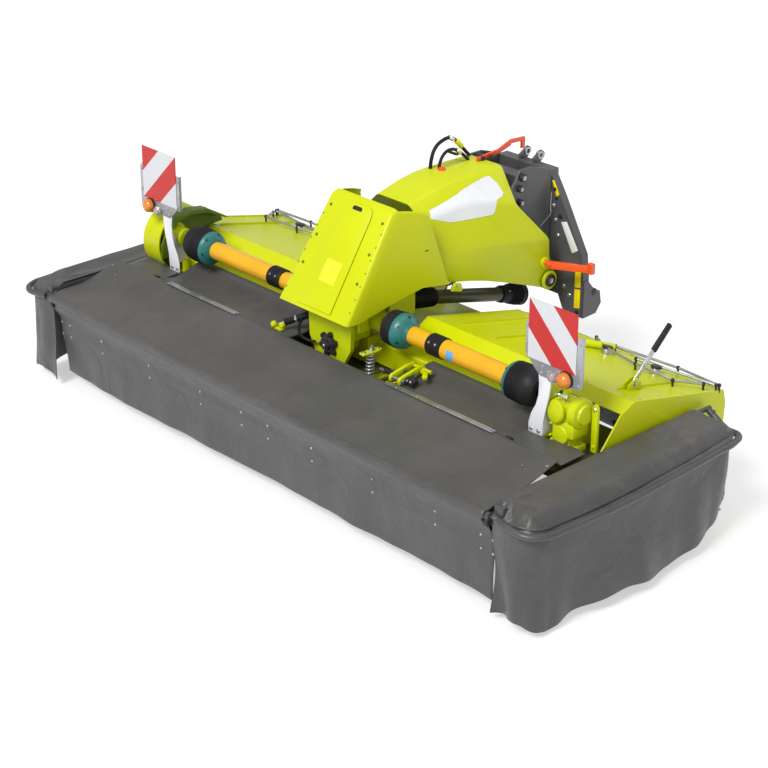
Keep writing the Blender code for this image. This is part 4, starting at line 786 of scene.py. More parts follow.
frontShell = shelled("front_hood_shell", mesh, [lime], "pendulum", ("front_hood",), 0.004)

stations = (
    ((0.425, 0.885, 0.260), (0.455, 1.045, 0.237), (0.375, 1.194, 0.198), (0.365, 1.272, 0.112)),
    ((0.750, 0.815, 0.275), (0.800, 0.995, 0.286), (0.660, 1.230, 0.215), (0.620, 1.325, 0.120)),
    ((1.230, 0.640, 0.272), (1.200, 0.930, 0.283), (0.995, 1.150, 0.240), (1.000, 1.330, 0.120)),
)
rows = []
for station in range(3):
    places = [Vector((half, y, z)) for y, z, half in stations[station]]
    rows.append([Vector((-p.x, p.y, p.z)) for p in places] + places[::-1])
fullRows = []
for step in range(9):
    f = step / 8
    fullRows.append([along([rows[k][c] for k in range(3)], f) for c in range(8)])
mesh = bmesh.new()
grid = [[mesh.verts.new(place) for place in row] for row in fullRows]
for lower, upper in zip(grid, grid[1:]):
    for step in range(7):
        mesh.faces.new((lower[step], upper[step], upper[step + 1], lower[step + 1]))
bmesh.ops.recalc_face_normals(mesh, faces=mesh.faces)
if sum(f.normal.z for f in mesh.faces) < 0:
    bmesh.ops.reverse_faces(mesh, faces=mesh.faces)
ridge = [e for e in mesh.edges if len(e.link_faces) == 2
         and abs((e.verts[0].co - e.verts[1].co).normalized().y) > 0.5]
bmesh.ops.bevel(mesh, geom=ridge, offset=0.016, offset_type="OFFSET", segments=3, profile=0.5, affect="EDGES",
                material=-1, clamp_overlap=True)
rearShell = shelled("rear_hood_shell", mesh, [lime], "boom", ("rear_hood",), 0.004)
rearShell.modifiers["skin"].offset = -1


def treeOf(piece):
    bpy.context.view_layer.update()
    return BVHTree.FromObject(piece, bpy.context.evaluated_depsgraph_get())


def addDecal(mesh, outline, tree, lift, slotIndex=0, cuts=5):
    known = set(mesh.faces)
    corners = [mesh.verts.new(Vector(p) + Vector((0, planeY, 0))) for p in outline]
    face = mesh.faces.new(corners)
    bmesh.ops.triangulate(mesh, faces=[face])
    for _ in range(cuts - 2):
        fresh = list({e for f in mesh.faces if f not in known for e in f.edges})
        bmesh.ops.subdivide_edges(mesh, edges=fresh, cuts=1, use_grid_fill=True)
    for vert in {v for f in mesh.faces if f not in known for v in f.verts}:
        way = math.copysign(1.0, vert.co.x)
        spot, normal, _, _ = tree.ray_cast(Vector((way * 0.6, vert.co.y, vert.co.z)), Vector((-way, 0, 0)))
        if spot is None:
            spot, normal, _, _ = tree.find_nearest(vert.co)
        vert.co = spot + normal * lift - Vector((0, planeY, 0))
    newFaces(mesh, known, slotIndex)


shell = treeOf(rearShell)
badge = ((0.432, 1.205), (0.445, 1.237), (0.700, 1.287), (0.860, 1.305), (0.892, 1.301), (0.924, 1.262),
         (0.936, 1.217), (0.922, 1.206), (0.868, 1.200), (0.836, 1.150), (0.820, 1.142), (0.560, 1.163),
         (0.535, 1.168))
mesh = bmesh.new()
for side in (-1, 1):
    addDecal(mesh, [(side * 0.25, y, z) for y, z in badge], shell, 0.0014, cuts=7)
settle("hood_panels", mesh, [white], "boom", angle=60)

lean = math.atan2(frontHood["high"][1] - frontHood["low"][1], frontHood["high"][0] - frontHood["low"][0])
panelUp = Vector((0, math.cos(lean), math.sin(lean)))
panelOut = Vector((0, -math.sin(lean), math.cos(lean)))
panelBase = Vector((0, *frontHood["low"]))
panelLength = (Vector((0, *frontHood["high"])) - panelBase).length


def onPanel(x, part, lift):
    return panelBase + Vector((x, 0, 0)) + panelUp * (panelLength * part) + panelOut * lift


mesh = bmesh.new()
flapOutline = [onPanel(x, part, 0.0065) for x, part in ((-0.122, 0.035), (0.122, 0.035), (0.106, 0.90),
                                                        (0.098, 0.955), (0.080, 0.985), (-0.080, 0.985),
                                                        (-0.098, 0.955), (-0.106, 0.90))]
addPlate(mesh, flapOutline, panelOut * 0.0055, 0, 0.002)
addPlate(mesh, [onPanel(x, part, 0.0122) for x, part in ((-0.030, 0.925), (0.030, 0.925), (0.034, 0.945),
                                                         (0.026, 0.962),
                                                       (-0.026, 0.962), (-0.034, 0.945))], panelOut * 0.0006,
                                                       1, 0)
addPlate(mesh, [onPanel(x, part, 0.0122) for x, part in ((-0.045, 0.27), (0.066, 0.27), (0.066, 0.47),
                                                         (-0.045, 0.47))],
         panelOut * 0.0007, 2, 0)
for part, wide in ((0.17, 0.108), (0.20, 0.104)):
    addPlate(mesh, [onPanel(x, p, 0.0115) for x, p in ((-wide, part), (wide, part), (wide, part + 0.008),
                                                      (-wide, part + 0.008))], panelOut * 0.0016, 0, 0.0006)
settle("service_panel", mesh, [lime, plastic, limeLabel], "service_flap", ("service_flap",))

mesh = bmesh.new()
for side in (-1, 1):
    seam = [onPanel(side * x, part, 0.0012) for x, part in ((0.1285, 0.03), (0.1225, 0.35), (0.1165, 0.70),
                                                            (0.112, 0.93), (0.102, 0.985), (0.105, 0.992),
                                                            (0.116, 0.94), (0.1205, 0.70), (0.1265, 0.35),
                                                            (0.1325, 0.03))]
    addPlate(mesh, seam, panelOut * 0.0008, 0, 0)
    for x, part in ((0.185, 0.90), (0.190, 0.62), (0.197, 0.36)):
        addBolt(mesh, onPanel(side * x, part, 0.0038), panelOut, 0.006, 1, 6)
    for step in range(7):
        x = 0.232 - 0.004 * step
        addBlock(mesh, onPanel(side * x, 0.12 + step * 0.115, 0.0035) - Vector((0.002, 0.004, 0.004)),
                 onPanel(side * x, 0.12 + step * 0.115, 0.0035) + Vector((0.002, 0.004, 0.004)), 1, 0.001)
settle("front_hood_seams", mesh, [plastic, greenDark], "pendulum")

mesh = bmesh.new()
shellFront = treeOf(frontShell)
for side in (-1, 1):
    addDecal(mesh, [(side * 0.26, y, z) for y, z in ((0.33, 1.085), (0.352, 1.085), (0.352, 1.08),
                                                     (0.33, 1.08))],
             shellFront, 0.0012, 0, 3)
for side in (-1, 1):
    latch = [(side * 0.289, y, z) for y, z in ((0.50, 0.880), (0.545, 0.868), (0.560, 0.835), (0.548, 0.822),
                                                (0.480, 0.842))]
    addPlate(mesh, latch, (side * 0.016, 0, 0), 1, 0.003)
    addBlock(mesh, *ordered((side * 0.286, 0.455, 0.872), (side * 0.296, 0.515, 0.882)), 0, 0.002)
    addBolt(mesh, (side * 0.305, 0.517, 0.862), (side, 0, 0), 0.007, 2)
settle("hood_latches", mesh, [plastic, lime, zinc], "boom")
print("hoods made")


# ---- bellows, shafts and gearboxes ----
shaft = {"y": 0.10, "z": 0.76, "tube": 0.0455, "collar": 0.054, "ribs": 6}


def ribbed(start, end, first, last, count, depth=0.006):
    profile = []
    for step in range(count * 4 + 1):
        f = step / (count * 4)
        swell = depth * 0.5 * (1 - math.cos(f * count * math.tau)) - depth
        profile.append((start + (end - start) * f, first + (last - first) * f + swell))
    return profile


def crossShaft(side, body, node, name):
    mesh = bmesh.new()
    origin, axis = (0, shaft["y"], shaft["z"]), (side, 0, 0)
    addTurned(mesh, [(0.282, 0.060)] + ribbed(0.282, 0.355, 0.086, 0.093, shaft["ribs"]) + [(0.358, 0.080)],
              origin, axis, 0)
    addTurned(mesh, ((0.350, 0.078), (0.352, 0.0895), (0.362, 0.0905), (0.378, 0.088), (0.396, 0.078),
                     (0.410, 0.064), (0.418, 0.053), (0.428, 0.0505), (0.430, 0.044)), origin, axis, 1)
    for angle in around(6, 0.4):
        out = Vector((side * 0.55, math.cos(angle), math.sin(angle))).normalized()
        spot = Vector((side * 0.392, shaft["y"], shaft["z"])) + spoke(angle) * 0.0795
        addRod(mesh, spot - out * 0.003, spot + out * 0.0012, 0.0085, None, 2, 16)
    collar = 0.604 if side > 0 else 0.561
    addTurned(mesh, ((0.418, 0.030), (0.420, shaft["tube"] - 0.002), (0.424, shaft["tube"]),
                     (0.470, shaft["tube"]), (0.474, shaft["tube"] - 0.001), (collar, shaft["tube"] - 0.001)),
                     origin, axis, 3)
    addTurned(mesh, ((collar, shaft["tube"] + 0.003), (1.055, shaft["tube"] + 0.003),
                     (1.080, shaft["tube"] + 0.001), (1.082, 0.030)), origin, axis, 3)
    rings = [(collar - 0.046, shaft["tube"] - 0.002), (collar - 0.046, shaft["collar"] - 0.003)]
    for x in (-0.040, -0.022, -0.004, 0.014, 0.032):
        rings += [(collar + x, shaft["collar"]), (collar + x + 0.012, shaft["collar"]),
                  (collar + x + 0.013, shaft["collar"] - 0.002),
                  (collar + x + 0.017, shaft["collar"] - 0.002)]
    rings += [(collar + 0.050, shaft["collar"] - 0.003), (collar + 0.050, shaft["tube"])]
    addTurned(mesh, rings, origin, axis, 0)
    for angle in (0.5, 2.6, 4.7):
        out = spoke(angle)
        for x in (-0.020, 0.022):
            addBolt(mesh, Vector((side * (collar + x), shaft["y"], shaft["z"])) + out * shaft["collar"], out,
                    0.0048, 4)
    outer = 1.10 if side > 0 else 1.107
    addTurned(mesh, ((outer - 0.030, 0.044), (outer - 0.028, 0.052), (outer - 0.018, 0.068),
                     (outer - 0.006, 0.084), (outer + 0.004, 0.0905), (outer + 0.016, 0.0915),
                     (outer + 0.018, 0.080)), origin, axis, 1)
    addTurned(mesh, [(outer + 0.012, 0.078)] + ribbed(outer + 0.012, outer + 0.095, 0.093, 0.0965, 7)
              + [(outer + 0.125, 0.094), (outer + 0.155, 0.082), (outer + 0.172, 0.066),
                 (outer + 0.176, 0.045)],
              origin, axis, 0)
    for angle in around(6, 0.1):
        out = Vector((-side * 0.55, math.cos(angle), math.sin(angle))).normalized()
        spot = Vector((side * (outer - 0.008), shaft["y"], shaft["z"]))
        spot += spoke(angle) * 0.0815
        addRod(mesh, spot - out * 0.003, spot + out * 0.0012, 0.0075, None, 2, 16)
    sticker = []
    for step in range(7):
        angle = math.radians(150 + step * 10)
        sticker.append((0, shaft["y"] + 0.0491 * math.cos(angle), shaft["z"] + 0.0491 * math.sin(angle)))
    if side > 0:
        for a, b in zip(sticker, sticker[1:]):
            known = set(mesh.faces)
            mesh.faces.new([mesh.verts.new(Vector(p) + Vector((x, 0, 0))) for p, x in
                            ((a, 0.70), (a, 0.745), (b, 0.745), (b, 0.70))])
            newFaces(mesh, known, 5)
    settle(name, mesh, [rubber, teal, plastic, amber, zinc, blueLabel], body, (node,),
           angle=32)


for side, word in ((-1, "left"), (1, "right")):
    crossShaft(side, word + "_shaft", word + "_cross_shaft", word + "_shaft_guard")

mesh = bmesh.new()
start, end = Vector((0, 0.38, 0.74)), Vector((0, 1.30, 0.51))
axis, span = (end - start).normalized(), (end - start).length
addTurned(mesh, [(0.030, 0.030)] + ribbed(0.032, 0.275, 0.066, 0.050, 12, 0.008) + [(0.285, 0.036)], start,
          axis, 0)
addTurned(mesh, ((0.270, 0.030), (0.272, 0.037), (0.780, 0.037), (0.782, 0.030)), start, axis, 1)
addTurned(mesh, ((0.776, 0.036), (0.778, 0.044), (0.792, 0.047), (0.800, 0.044), (0.812, 0.047),
                 (0.826, 0.044), (0.840, 0.047), (0.852, 0.044), (0.855, 0.034)), start, axis, 0)
addTurned(mesh, ((0.850, 0.034), (span - 0.004, 0.034), (span, 0.031), (span, 0.0)), start, axis, 1)
addRod(mesh, start, start + axis * 0.06, 0.022, None, 2)
for angle in (0.2, 2.3, 4.4):
    out = (axis.orthogonal().normalized() * math.cos(angle)
           + axis.cross(axis.orthogonal().normalized()) * math.sin(angle))
    addBolt(mesh, start + axis * 0.815 + out * 0.046, out, 0.004, 2)
rearEnd = Vector((0, 1.300, 0.510))
towards = Vector((0, 0.920, -0.230)).normalized()
addTurned(mesh, [(-0.115, 0.040), (-0.112, 0.047)] + ribbed(-0.105, -0.040, 0.053, 0.062, 5)
          + [(-0.035, 0.061), (-0.004, 0.063), (-0.002, 0.055), (-0.020, 0.030), (-0.020, 0.0)], rearEnd,
          towards, 0)
settle("main_shaft_guard", mesh, [rubber, olive, zinc], "main_shaft", ("main_drive_shaft",),
       angle=32)

mesh = bmesh.new()
addBlock(mesh, (1.390, 0.038, 0.560), (1.500, 0.138, 0.790), 0, 0.018)
addBlock(mesh, (1.400, 0.030, 0.620), (1.530, 0.138, 0.700), 0, 0.014)
addBlock(mesh, (1.376, 0.050, 0.535), (1.520, 0.138, 0.572), 0, 0.008)
addTurned(mesh, ((-0.010, 0.0), (-0.010, 0.052), (0.016, 0.055), (0.024, 0.050), (0.030, 0.034),
                 (0.034, 0.012), (0.034, 0.0)), (1.428, 0.040, 0.735), (-0.15, -1, 0.1), 0)
addTurned(mesh, ((-0.02, 0.0), (-0.02, 0.070), (0.014, 0.070), (0.018, 0.066), (0.022, 0.048), (0.034, 0.044),
                 (0.036, 0.020), (0.036, 0.0)), (1.520, 0.086, 0.740), (1, 0, 0), 0)
addTurned(mesh, ((-0.04, 0.046), (-0.03, 0.056), (0.018, 0.056), (0.022, 0.050), (0.022, 0.0)),
          (1.352, 0.100, 0.760), (-1, 0, 0), 0)
addTurned(mesh, ((-0.02, 0.0), (-0.02, 0.044), (0.010, 0.044), (0.014, 0.040), (0.018, 0.018), (0.018, 0.0)),
          (1.455, 0.038, 0.628), (0, -1, 0), 0)
for angle in around(8):
    addBolt(mesh, (1.5345, 0.086 + 0.058 * math.cos(angle), 0.740 + 0.058 * math.sin(angle)), (1, 0, 0),
            0.0058, 0)
for x, z in ((1.400, 0.585), (1.500, 0.585), (1.400, 0.67), (1.512, 0.66), (1.402, 0.775)):
    addBolt(mesh, (x, 0.036, z), (0, -1, 0), 0.0068, 0)
for angle in (0.4, 1.5, 2.6, 3.6, 4.7, 5.7):
    addBolt(mesh, (1.455 + 0.034 * math.cos(angle), 0.026, 0.628 + 0.034 * math.sin(angle)), (0, -1, 0),
            0.0048, 0)
addRod(mesh, (1.440, 0.075, 0.785), (1.440, 0.075, 0.828), 0.016, None, 0, 20, 0.002)
addRod(mesh, (1.468, 0.050, 0.785), (1.474, 0.030, 0.822), 0.010, None, 1, 16, 0.0015)
addPipe(mesh, [(1.474, 0.030, 0.820), (1.452, 0.014, 0.832), (1.425, 0.014, 0.822)], 0.006, 1)
addPlate(mesh, [(x, 0.132, z) for x, z in ((1.560, 0.555), (1.592, 0.555), (1.594, 0.77), (1.585, 0.79),
                                           (1.568, 0.79), (1.558, 0.77))], (0, -0.016, 0), 0, 0.003)
addBolt(mesh, (1.577, 0.116, 0.768), (0, -1, 0), 0.008, 1)
addBolt(mesh, (1.577, 0.116, 0.585), (0, -1, 0), 0.007, 0)
for z in (0.600, 0.660, 0.705):
    addBlock(mesh, (1.385, 0.030, z), (1.396, 0.138, z + 0.008), 0, 0.002)
settle("right_gearbox_casting", mesh, [limeCast, chrome], "frame", ("right_gearbox",), angle=32)

mesh = bmesh.new()
drum = {"y": 0.19, "z": 0.69, "radius": 0.185, "wall": 1.5997}
spot, out = (-drum["wall"], drum["y"], drum["z"]), (1, 0, 0)
addTurned(mesh, ((0.0, 0.0), (0.0, 0.181), (0.003, 0.185), (0.137, 0.185), (0.140, 0.183), (0.140, 0.176),
                 (0.130, 0.174), (0.012, 0.174), (0.010, 0.0)), spot, out, 0, 96)
addTurned(mesh, ((0.010, 0.150), (0.040, 0.150), (0.044, 0.146), (0.044, 0.060), (0.050, 0.055),
                 (0.050, 0.0)),
          spot, out, 1, 64)
for angle in around(8, 0.2):
    addBolt(mesh, (spot[0] + 0.044, drum["y"] + 0.10 * math.cos(angle), drum["z"] + 0.10 * math.sin(angle)),
            out, 0.009, 1)
    addBlock(mesh, (spot[0] + 0.012, drum["y"] + 0.172 * math.cos(angle) - 0.004,
                    drum["z"] + 0.172 * math.sin(angle) - 0.004),
             (spot[0] + 0.13, drum["y"] + 0.172 * math.cos(angle) + 0.004,
              drum["z"] + 0.172 * math.sin(angle) + 0.004), 0, 0.001)
addRod(mesh, (spot[0] + 0.03, shaft["y"], shaft["z"]), (-1.332, shaft["y"], shaft["z"]), 0.048, None, 2, 32,
       0.004)
addTurned(mesh, ((0, 0.0), (0, 0.062), (0.020, 0.062), (0.024, 0.050), (0.024, 0.0)),
          (-1.440, shaft["y"], shaft["z"]), (1, 0, 0), 2)
addPlate(mesh, [(-1.462, y, z) for y, z in ((0.02, 0.62), (0.02, 0.70), (0.10, 0.86), (0.19, 0.875),
                                            (0.30, 0.86), (0.42, 0.79), (0.44, 0.745), (0.30, 0.735),
                                            (0.20, 0.62))],
         (0.012, 0, 0), 1, 0.002)
addPlate(mesh, [(-1.450, y, z) for y, z in ((0.06, 0.80), (0.10, 0.86), (0.19, 0.875), (0.30, 0.86),
                                            (0.42, 0.79), (0.44, 0.772), (0.29, 0.838), (0.19, 0.852),
                                            (0.11, 0.836))],
         (0.055, 0, 0), 1, 0.003)
addBolt(mesh, (-1.425, 0.30, 0.852), (0, 0.35, 1), 0.009, 3)
settle("left_drive_drum", mesh, [lime, greenDark, limeCast, plastic], "frame",
       ("left_drive_cover",),
       angle=32)
print("shafts and gearboxes made")


# ---- mowing discs ----
# each disc takes its place, radius and height from its solid; the knives lie on the solid's long side
knife = {"width": 0.048, "thick": 0.004, "bolt": 0.011}
for index in range(8):
    name = "mowing_disc_" + str(index + 1)
    low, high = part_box(name)
    middle = (low + high) / 2 - Vector((0, planeY, 0))
    size = high - low
    radius, tall, lengthwise = min(size.x, size.y) / 2, size.z, size.x > size.y
    mesh = bmesh.new()
    addTurned(mesh, ((0.0, 0.0), (0.0, radius * 0.97), (tall * 0.10, radius), (tall * 0.22, radius * 0.98),
                     (tall * 0.48, radius * 0.80), (tall * 0.66, radius * 0.60), (tall * 0.72, radius * 0.42),
                     (tall * 0.74, radius * 0.33), (tall * 0.96, radius * 0.30), (tall, radius * 0.24),
                     (tall, 0.0)), (middle.x, middle.y, low.z), (0, 0, 1), 0, 56)
    bladeWay = Vector((1, 0, 0)) if lengthwise else Vector((0, 1, 0))
    bladeSide = Vector((-bladeWay.y, bladeWay.x, 0))
    reach = max(size.x, size.y) / 2
    for way in (-1, 1):
        foot = Vector((middle.x, middle.y, low.z + 0.001)) + bladeWay * way * (radius - 0.04)
        tip = Vector((middle.x, middle.y, low.z + 0.001)) + bladeWay * way * reach
        half = bladeSide * knife["width"] / 2
        addPlate(mesh, [foot - half, foot + half, tip + half * 0.9, tip - half * 0.5], (0, 0, knife["thick"]),
                 1, 0.001)
        addBolt(mesh, foot + Vector((0, 0, 0.012)), (0, 0, 1), knife["bolt"], 1)
    for angle in around(4, 0.4):
        addBolt(mesh, (middle.x + radius * 0.20 * math.cos(angle), middle.y + radius * 0.20 * math.sin(angle),
                       low.z + tall * 0.97), (0, 0, 1), 0.006, 1, washer=False)
    settle("domed_" + name, mesh, [darkPaint, zinc], bodyOf[name], (name,))
print("mowing discs made")


# ---- centre of the machine ----
centre = {"coil": 0.0185, "wire": 0.0046, "turns": 7, "lobe": 0.050}
mesh = bmesh.new()
base, head = Vector((0.300, -0.070, 0.535)), Vector((0.302, -0.055, 0.676))
lift = (head - base).normalized()
side1 = lift.orthogonal().normalized()
side2 = lift.cross(side1)
coil = []
for step in range(centre["turns"] * 14 + 1):
    part = step / (centre["turns"] * 14)
    angle = part * centre["turns"] * math.tau
    turned = side1 * math.cos(angle) + side2 * math.sin(angle)
    coil.append(base.lerp(head, 0.06 + 0.88 * part) + turned * centre["coil"])
addPipe(mesh, coil, centre["wire"], 0, smooth=False, sides=4, steps=1)
addRod(mesh, base - lift * 0.004, head + lift * 0.036, 0.0065, None, 1, 16)
addRod(mesh, base, base + lift * 0.008, 0.023, None, 1, 24, 0.001)
addRod(mesh, head - lift * 0.008, head, 0.023, None, 1, 24, 0.001)
addBolt(mesh, head + lift * 0.012, lift, 0.013, 1)
addBlock(mesh, (0.282, -0.092, 0.519), (0.318, 0.140, 0.534), 2, 0.002)
addPlate(mesh, [(x, y, 0.677) for x, y in ((0.284, -0.118), (0.318, -0.122), (0.326, -0.020), (0.316, 0.004),
                                           (0.290, 0.002), (0.286, -0.030))], (0, 0, 0.010), 2, 0.002)
addBolt(mesh, (0.303, -0.105, 0.687), (0, 0, 1), 0.009, 1)
addBolt(mesh, (0.303, -0.012, 0.687), (0, 0, 1), 0.008, 1)
for y in (0.03, 0.09):
    addBolt(mesh, (0.30, y, 0.534), (0, 0, 1), 0.008, 1)
settle("coil_spring", mesh, [zinc, zinc, lime], "frame", ("float_spring",))

mesh = bmesh.new()
for x in (0.475, 0.535):
    addPlate(mesh, [(x, y, z) for y, z in ((-0.150, 0.602), (-0.150, 0.622), (-0.138, 0.634), (-0.04, 0.652),
                                          (0.012, 0.654), (0.024, 0.644), (0.024, 0.626), (0.010, 0.620),
                                          (-0.10, 0.602))], (0.016, 0, 0), 0, 0.002)
    for y, z in ((-0.132, 0.618), (-0.062, 0.632), (0.006, 0.638)):
        addBolt(mesh, (x + 0.016, y, z), (1, 0, 0), 0.008, 1)
addRod(mesh, (0.468, -0.132, 0.618), (0.566, -0.132, 0.618), 0.0085, None, 1, 18)
addRod(mesh, (0.468, 0.006, 0.638), (0.606, 0.006, 0.636), 0.0100, None, 0, 18, 0.001)
addPlate(mesh, [(x, y, 0.630) for x, y in ((0.560, -0.006), (0.600, -0.010), (0.640, -0.052), (0.632, -0.070),
                                           (0.616, -0.066), (0.588, -0.030), (0.560, -0.026))], (0, 0, 0.016),
                                           0, 0.003)
addPlate(mesh, [(x, -0.120, z) for x, z in ((0.556, 0.600), (0.612, 0.600), (0.616, 0.628), (0.600, 0.640),
                                           (0.566, 0.640), (0.556, 0.626))], (0, 0.034, 0), 2, 0.003)
addRod(mesh, (0.400, -0.100, 0.612), (0.470, -0.104, 0.618), 0.0130, None, 2, 20, 0.002)
addRod(mesh, (0.360, -0.096, 0.608), (0.402, -0.100, 0.612), 0.0070, None, 1, 16)
for x in (0.572, 0.594):
    addBolt(mesh, (x, -0.120, 0.622), (0, -1, 0), 0.006, 1)
bmesh.ops.translate(mesh, vec=(0, 0.046, 0), verts=mesh.verts)
settle("parallel_links", mesh, [lime, zinc, plastic], "frame")

mesh = bmesh.new()
addRod(mesh, (-0.352, -0.132, 0.622), (-0.322, -0.108, 0.638), 0.0075, None, 1, 16)
addRod(mesh, (-0.326, -0.111, 0.636), (-0.222, -0.040, 0.690), 0.0175, None, 0, 24, 0.003)
addRod(mesh, (-0.280, -0.080, 0.660), (-0.272, -0.075, 0.664), 0.0185, None, 1, 24)
for x, y in ((-0.374, -0.144), (-0.334, -0.122)):
    addTurned(mesh, ((-0.016, 0.0), (-0.015, 0.010), (-0.010, 0.0155), (0.0, 0.018), (0.010, 0.0155),
                     (0.015, 0.010), (0.016, 0.0)), (x, y, 0.620), (0.3, -0.9, 0.3), 2, 28)
addPipe(mesh, [(-0.245, -0.062, 0.672), (-0.225, -0.105, 0.650), (-0.190, -0.132, 0.625),
               (-0.130, -0.135, 0.612), (-0.085, -0.120, 0.610)], 0.0075, 0, sides=4)
addPlate(mesh, [(x, -0.150, z) for x, z in ((-0.392, 0.598), (-0.318, 0.598), (-0.322, 0.610),
                                            (-0.388, 0.610))],
         (0, 0.030, 0), 2, 0.002)
bmesh.ops.translate(mesh, vec=(0, 0.046, 0), verts=mesh.verts)
settle("pendulum_damper", mesh, [rubber, chrome, lime], "frame")

mesh = bmesh.new()
spot = Vector((0, -0.055, 0.625))
addTurned(mesh, ((0.0, 0.0), (0.0, 0.046), (0.020, 0.045), (0.024, 0.040), (0.026, 0.030), (0.036, 0.027),
                 (0.040, 0.020), (0.041, 0.0)), spot, (0, -1, 0), 0, 40)
for angle in around(6, 0.3):
    lobe = spot + Vector((math.cos(angle), 0, math.sin(angle))) * centre["lobe"]
    addRod(mesh, lobe, lobe - Vector((0, 0.016, 0)), 0.0150, None, 0, 20, 0.002)
    addBolt(mesh, lobe - Vector((0, 0.016, 0)), (0, -1, 0), 0.0095, 0)
addTurned(mesh, ((0.040, 0.009), (0.044, 0.006), (0.045, 0.0)), spot, (0, -1, 0), 1, 18)
settle("pivot_star", mesh, [plastic, chrome], "pendulum", ("bearing_cap",))
print("centre fittings made")


# painted shade: dark olive sheets under the hoods and a strip along each end plate stand where the space
# under the hoods falls into shade; zinc bolts hold the side sheets
mesh = bmesh.new()
addBlock(mesh, (-0.500, -0.128, 0.486), (0.520, 0.300, 0.490), 0, 0.001)
for side in (-1, 1):
    addBlock(mesh, *ordered((side * 1.270, -0.120, 0.500), (side * 1.598, 0.440, 0.504)), 0, 0.001)
    addBlock(mesh, *ordered((side * 1.602, -0.138, 0.515), (side * 1.632, 0.820, 0.535)), 0, 0.002)
    for y in (-0.04, 0.16, 0.36):
        addBolt(mesh, (side * 1.585, y, 0.504), (0, 0, 1), 0.008, 1)
settle("painted_shade_sheets", mesh, [olive, zinc], "frame")


# ---- headstock fittings ----
mesh = bmesh.new()
tags = (
    (1, ((0.189, 1.194), (0.203, 1.197), (0.242, 1.130), (0.223, 1.110))),
    (0, ((0.262, 0.985), (0.300, 0.997), (0.386, 0.862), (0.346, 0.836))),
    (1, ((0.374, 0.748), (0.414, 0.752), (0.414, 0.662), (0.374, 0.656))),
    (1, ((0.374, 0.646), (0.414, 0.652), (0.414, 0.548), (0.374, 0.540))),
    (2, ((0.236, 1.016), (0.262, 1.026), (0.274, 1.006), (0.248, 0.996))),
)
for slotIndex, outline in tags:
    addPlate(mesh, [(x, 1.3106, z) for x, z in outline], (0, -0.0016, 0), slotIndex, 0.0004)
settle("headstock_labels", mesh, [white, label, plastic], "headstock")

mesh = bmesh.new()
for side in (-1, 1):
    for y, z, size in ((1.082, 1.262, 0.021), (1.066, 1.205, 0.018), (1.072, 1.130, 0.018),
                       (1.112, 1.040, 0.016), (1.165, 0.955, 0.016)):
        addRod(mesh, (side * 0.184, y, z), (side * 0.206, y, z), size, None, 0, 28, 0.003)
        addBolt(mesh, (side * 0.206, y, z), (side, 0, 0), size * 0.42, 1)
    for x, z in ((0.205, 1.060), (0.222, 0.985), (0.243, 0.905), (0.300, 0.640), (0.340, 0.600)):
        addBolt(mesh, (side * x, 1.3106, z), (0, -1, 0), 0.0105, 1)
    for x, z in ((0.210, 1.150), (0.225, 1.105), (0.395, 0.520)):
        addBolt(mesh, (side * x, 1.3106, z), (0, -1, 0), 0.0080, 0)
    addBlock(mesh, *ordered((side * 0.171, 1.284, 0.640), (side * 0.1865, 1.3095, 1.228)), 2, 0.003)
    addTurned(mesh, ((-0.004, 0.020), (0.019, 0.020), (0.019, 0.0125), (-0.004, 0.0125), (-0.004, 0.020)),
              (side * 0.038, 1.362, 1.284), (side, 0, 0), 1, 28)
    addRod(mesh, (side * 0.383, 1.395, 0.625), (side * 0.437, 1.395, 0.625), 0.0200, None, 0, 24, 0.002)
addPipe(mesh, [(0.196, 1.305, 1.035), (0.205, 1.288, 1.020), (0.192, 1.262, 0.985), (0.188, 1.232, 0.962)],
        0.0022, 1,
        sides=2)
settle("headstock_bolts", mesh, [plastic, zinc, darkPaint], "headstock")

mesh = bmesh.new()
for side in (-1, 1):
    disc = [Vector((side * 0.284, 1.205 + 0.052 * math.cos(a), 0.700 + 0.052 * math.sin(a)))
            for a in [math.tau * k / 24 for k in range(24)]]
    addPlate(mesh, disc, (side * 0.010, 0, 0), 0, 0.002)
    addRod(mesh, (side * 0.293, 1.205, 0.700), (side * 0.304, 1.205, 0.700), 0.034, None, 1, 30, 0.002)
    addBolt(mesh, (side * 0.304, 1.205, 0.700), (side, 0, 0), 0.011, 2)
addRod(mesh, (0.272, 1.17, 0.805), (0.296, 1.17, 0.805), 0.030, None, 0, 28, 0.003)
addBolt(mesh, (0.327, 1.17, 0.805), (1, 0, 0), 0.0100, 2)
for x, y in ((0.0, 0.98), (0.028, 1.03), (-0.034, 1.00)):
    addRod(mesh, (x, y, 1.322), (x, y + 0.006, 1.352), 0.0150, None, 1, 20, 0.003)
settle("boom_pins", mesh, [lime, plastic, zinc], "boom")

hoses = {
    "outer": (-0.085, 0.0095, ((0.700, 1.322), (0.706, 1.372), (0.732, 1.428), (0.780, 1.456), (0.836, 1.460),
                               (0.884, 1.432), (0.928, 1.386), (0.975, 1.338))),
    "inner": (-0.052, 0.0085, ((0.728, 1.322), (0.738, 1.366), (0.768, 1.402), (0.812, 1.412), (0.858, 1.396),
                               (0.902, 1.362), (0.935, 1.332))),
}
mesh = bmesh.new()
for x, radius, route in hoses.values():
    addPipe(mesh, [(x, y, z) for y, z in route], radius, 0, sides=5, steps=10)
    (lowY, lowZ), (nearY, nearZ) = route[4], route[5]
    way = Vector((0, nearY - lowY, nearZ - lowZ)).normalized()
    start = Vector((x, lowY, lowZ))
    addRod(mesh, start - way * 0.012, start + way * 0.020, radius * 1.28, None, 1, 22, 0.0012)
    addBolt(mesh, start + way * 0.020, way, radius * 1.35, 1, washer=False)
(lowY, lowZ), (nearY, nearZ) = hoses["outer"][2][5], hoses["outer"][2][6]
way = Vector((0, nearY - lowY, nearZ - lowZ)).normalized()
start = Vector((-0.085, lowY, lowZ)) - way * 0.012
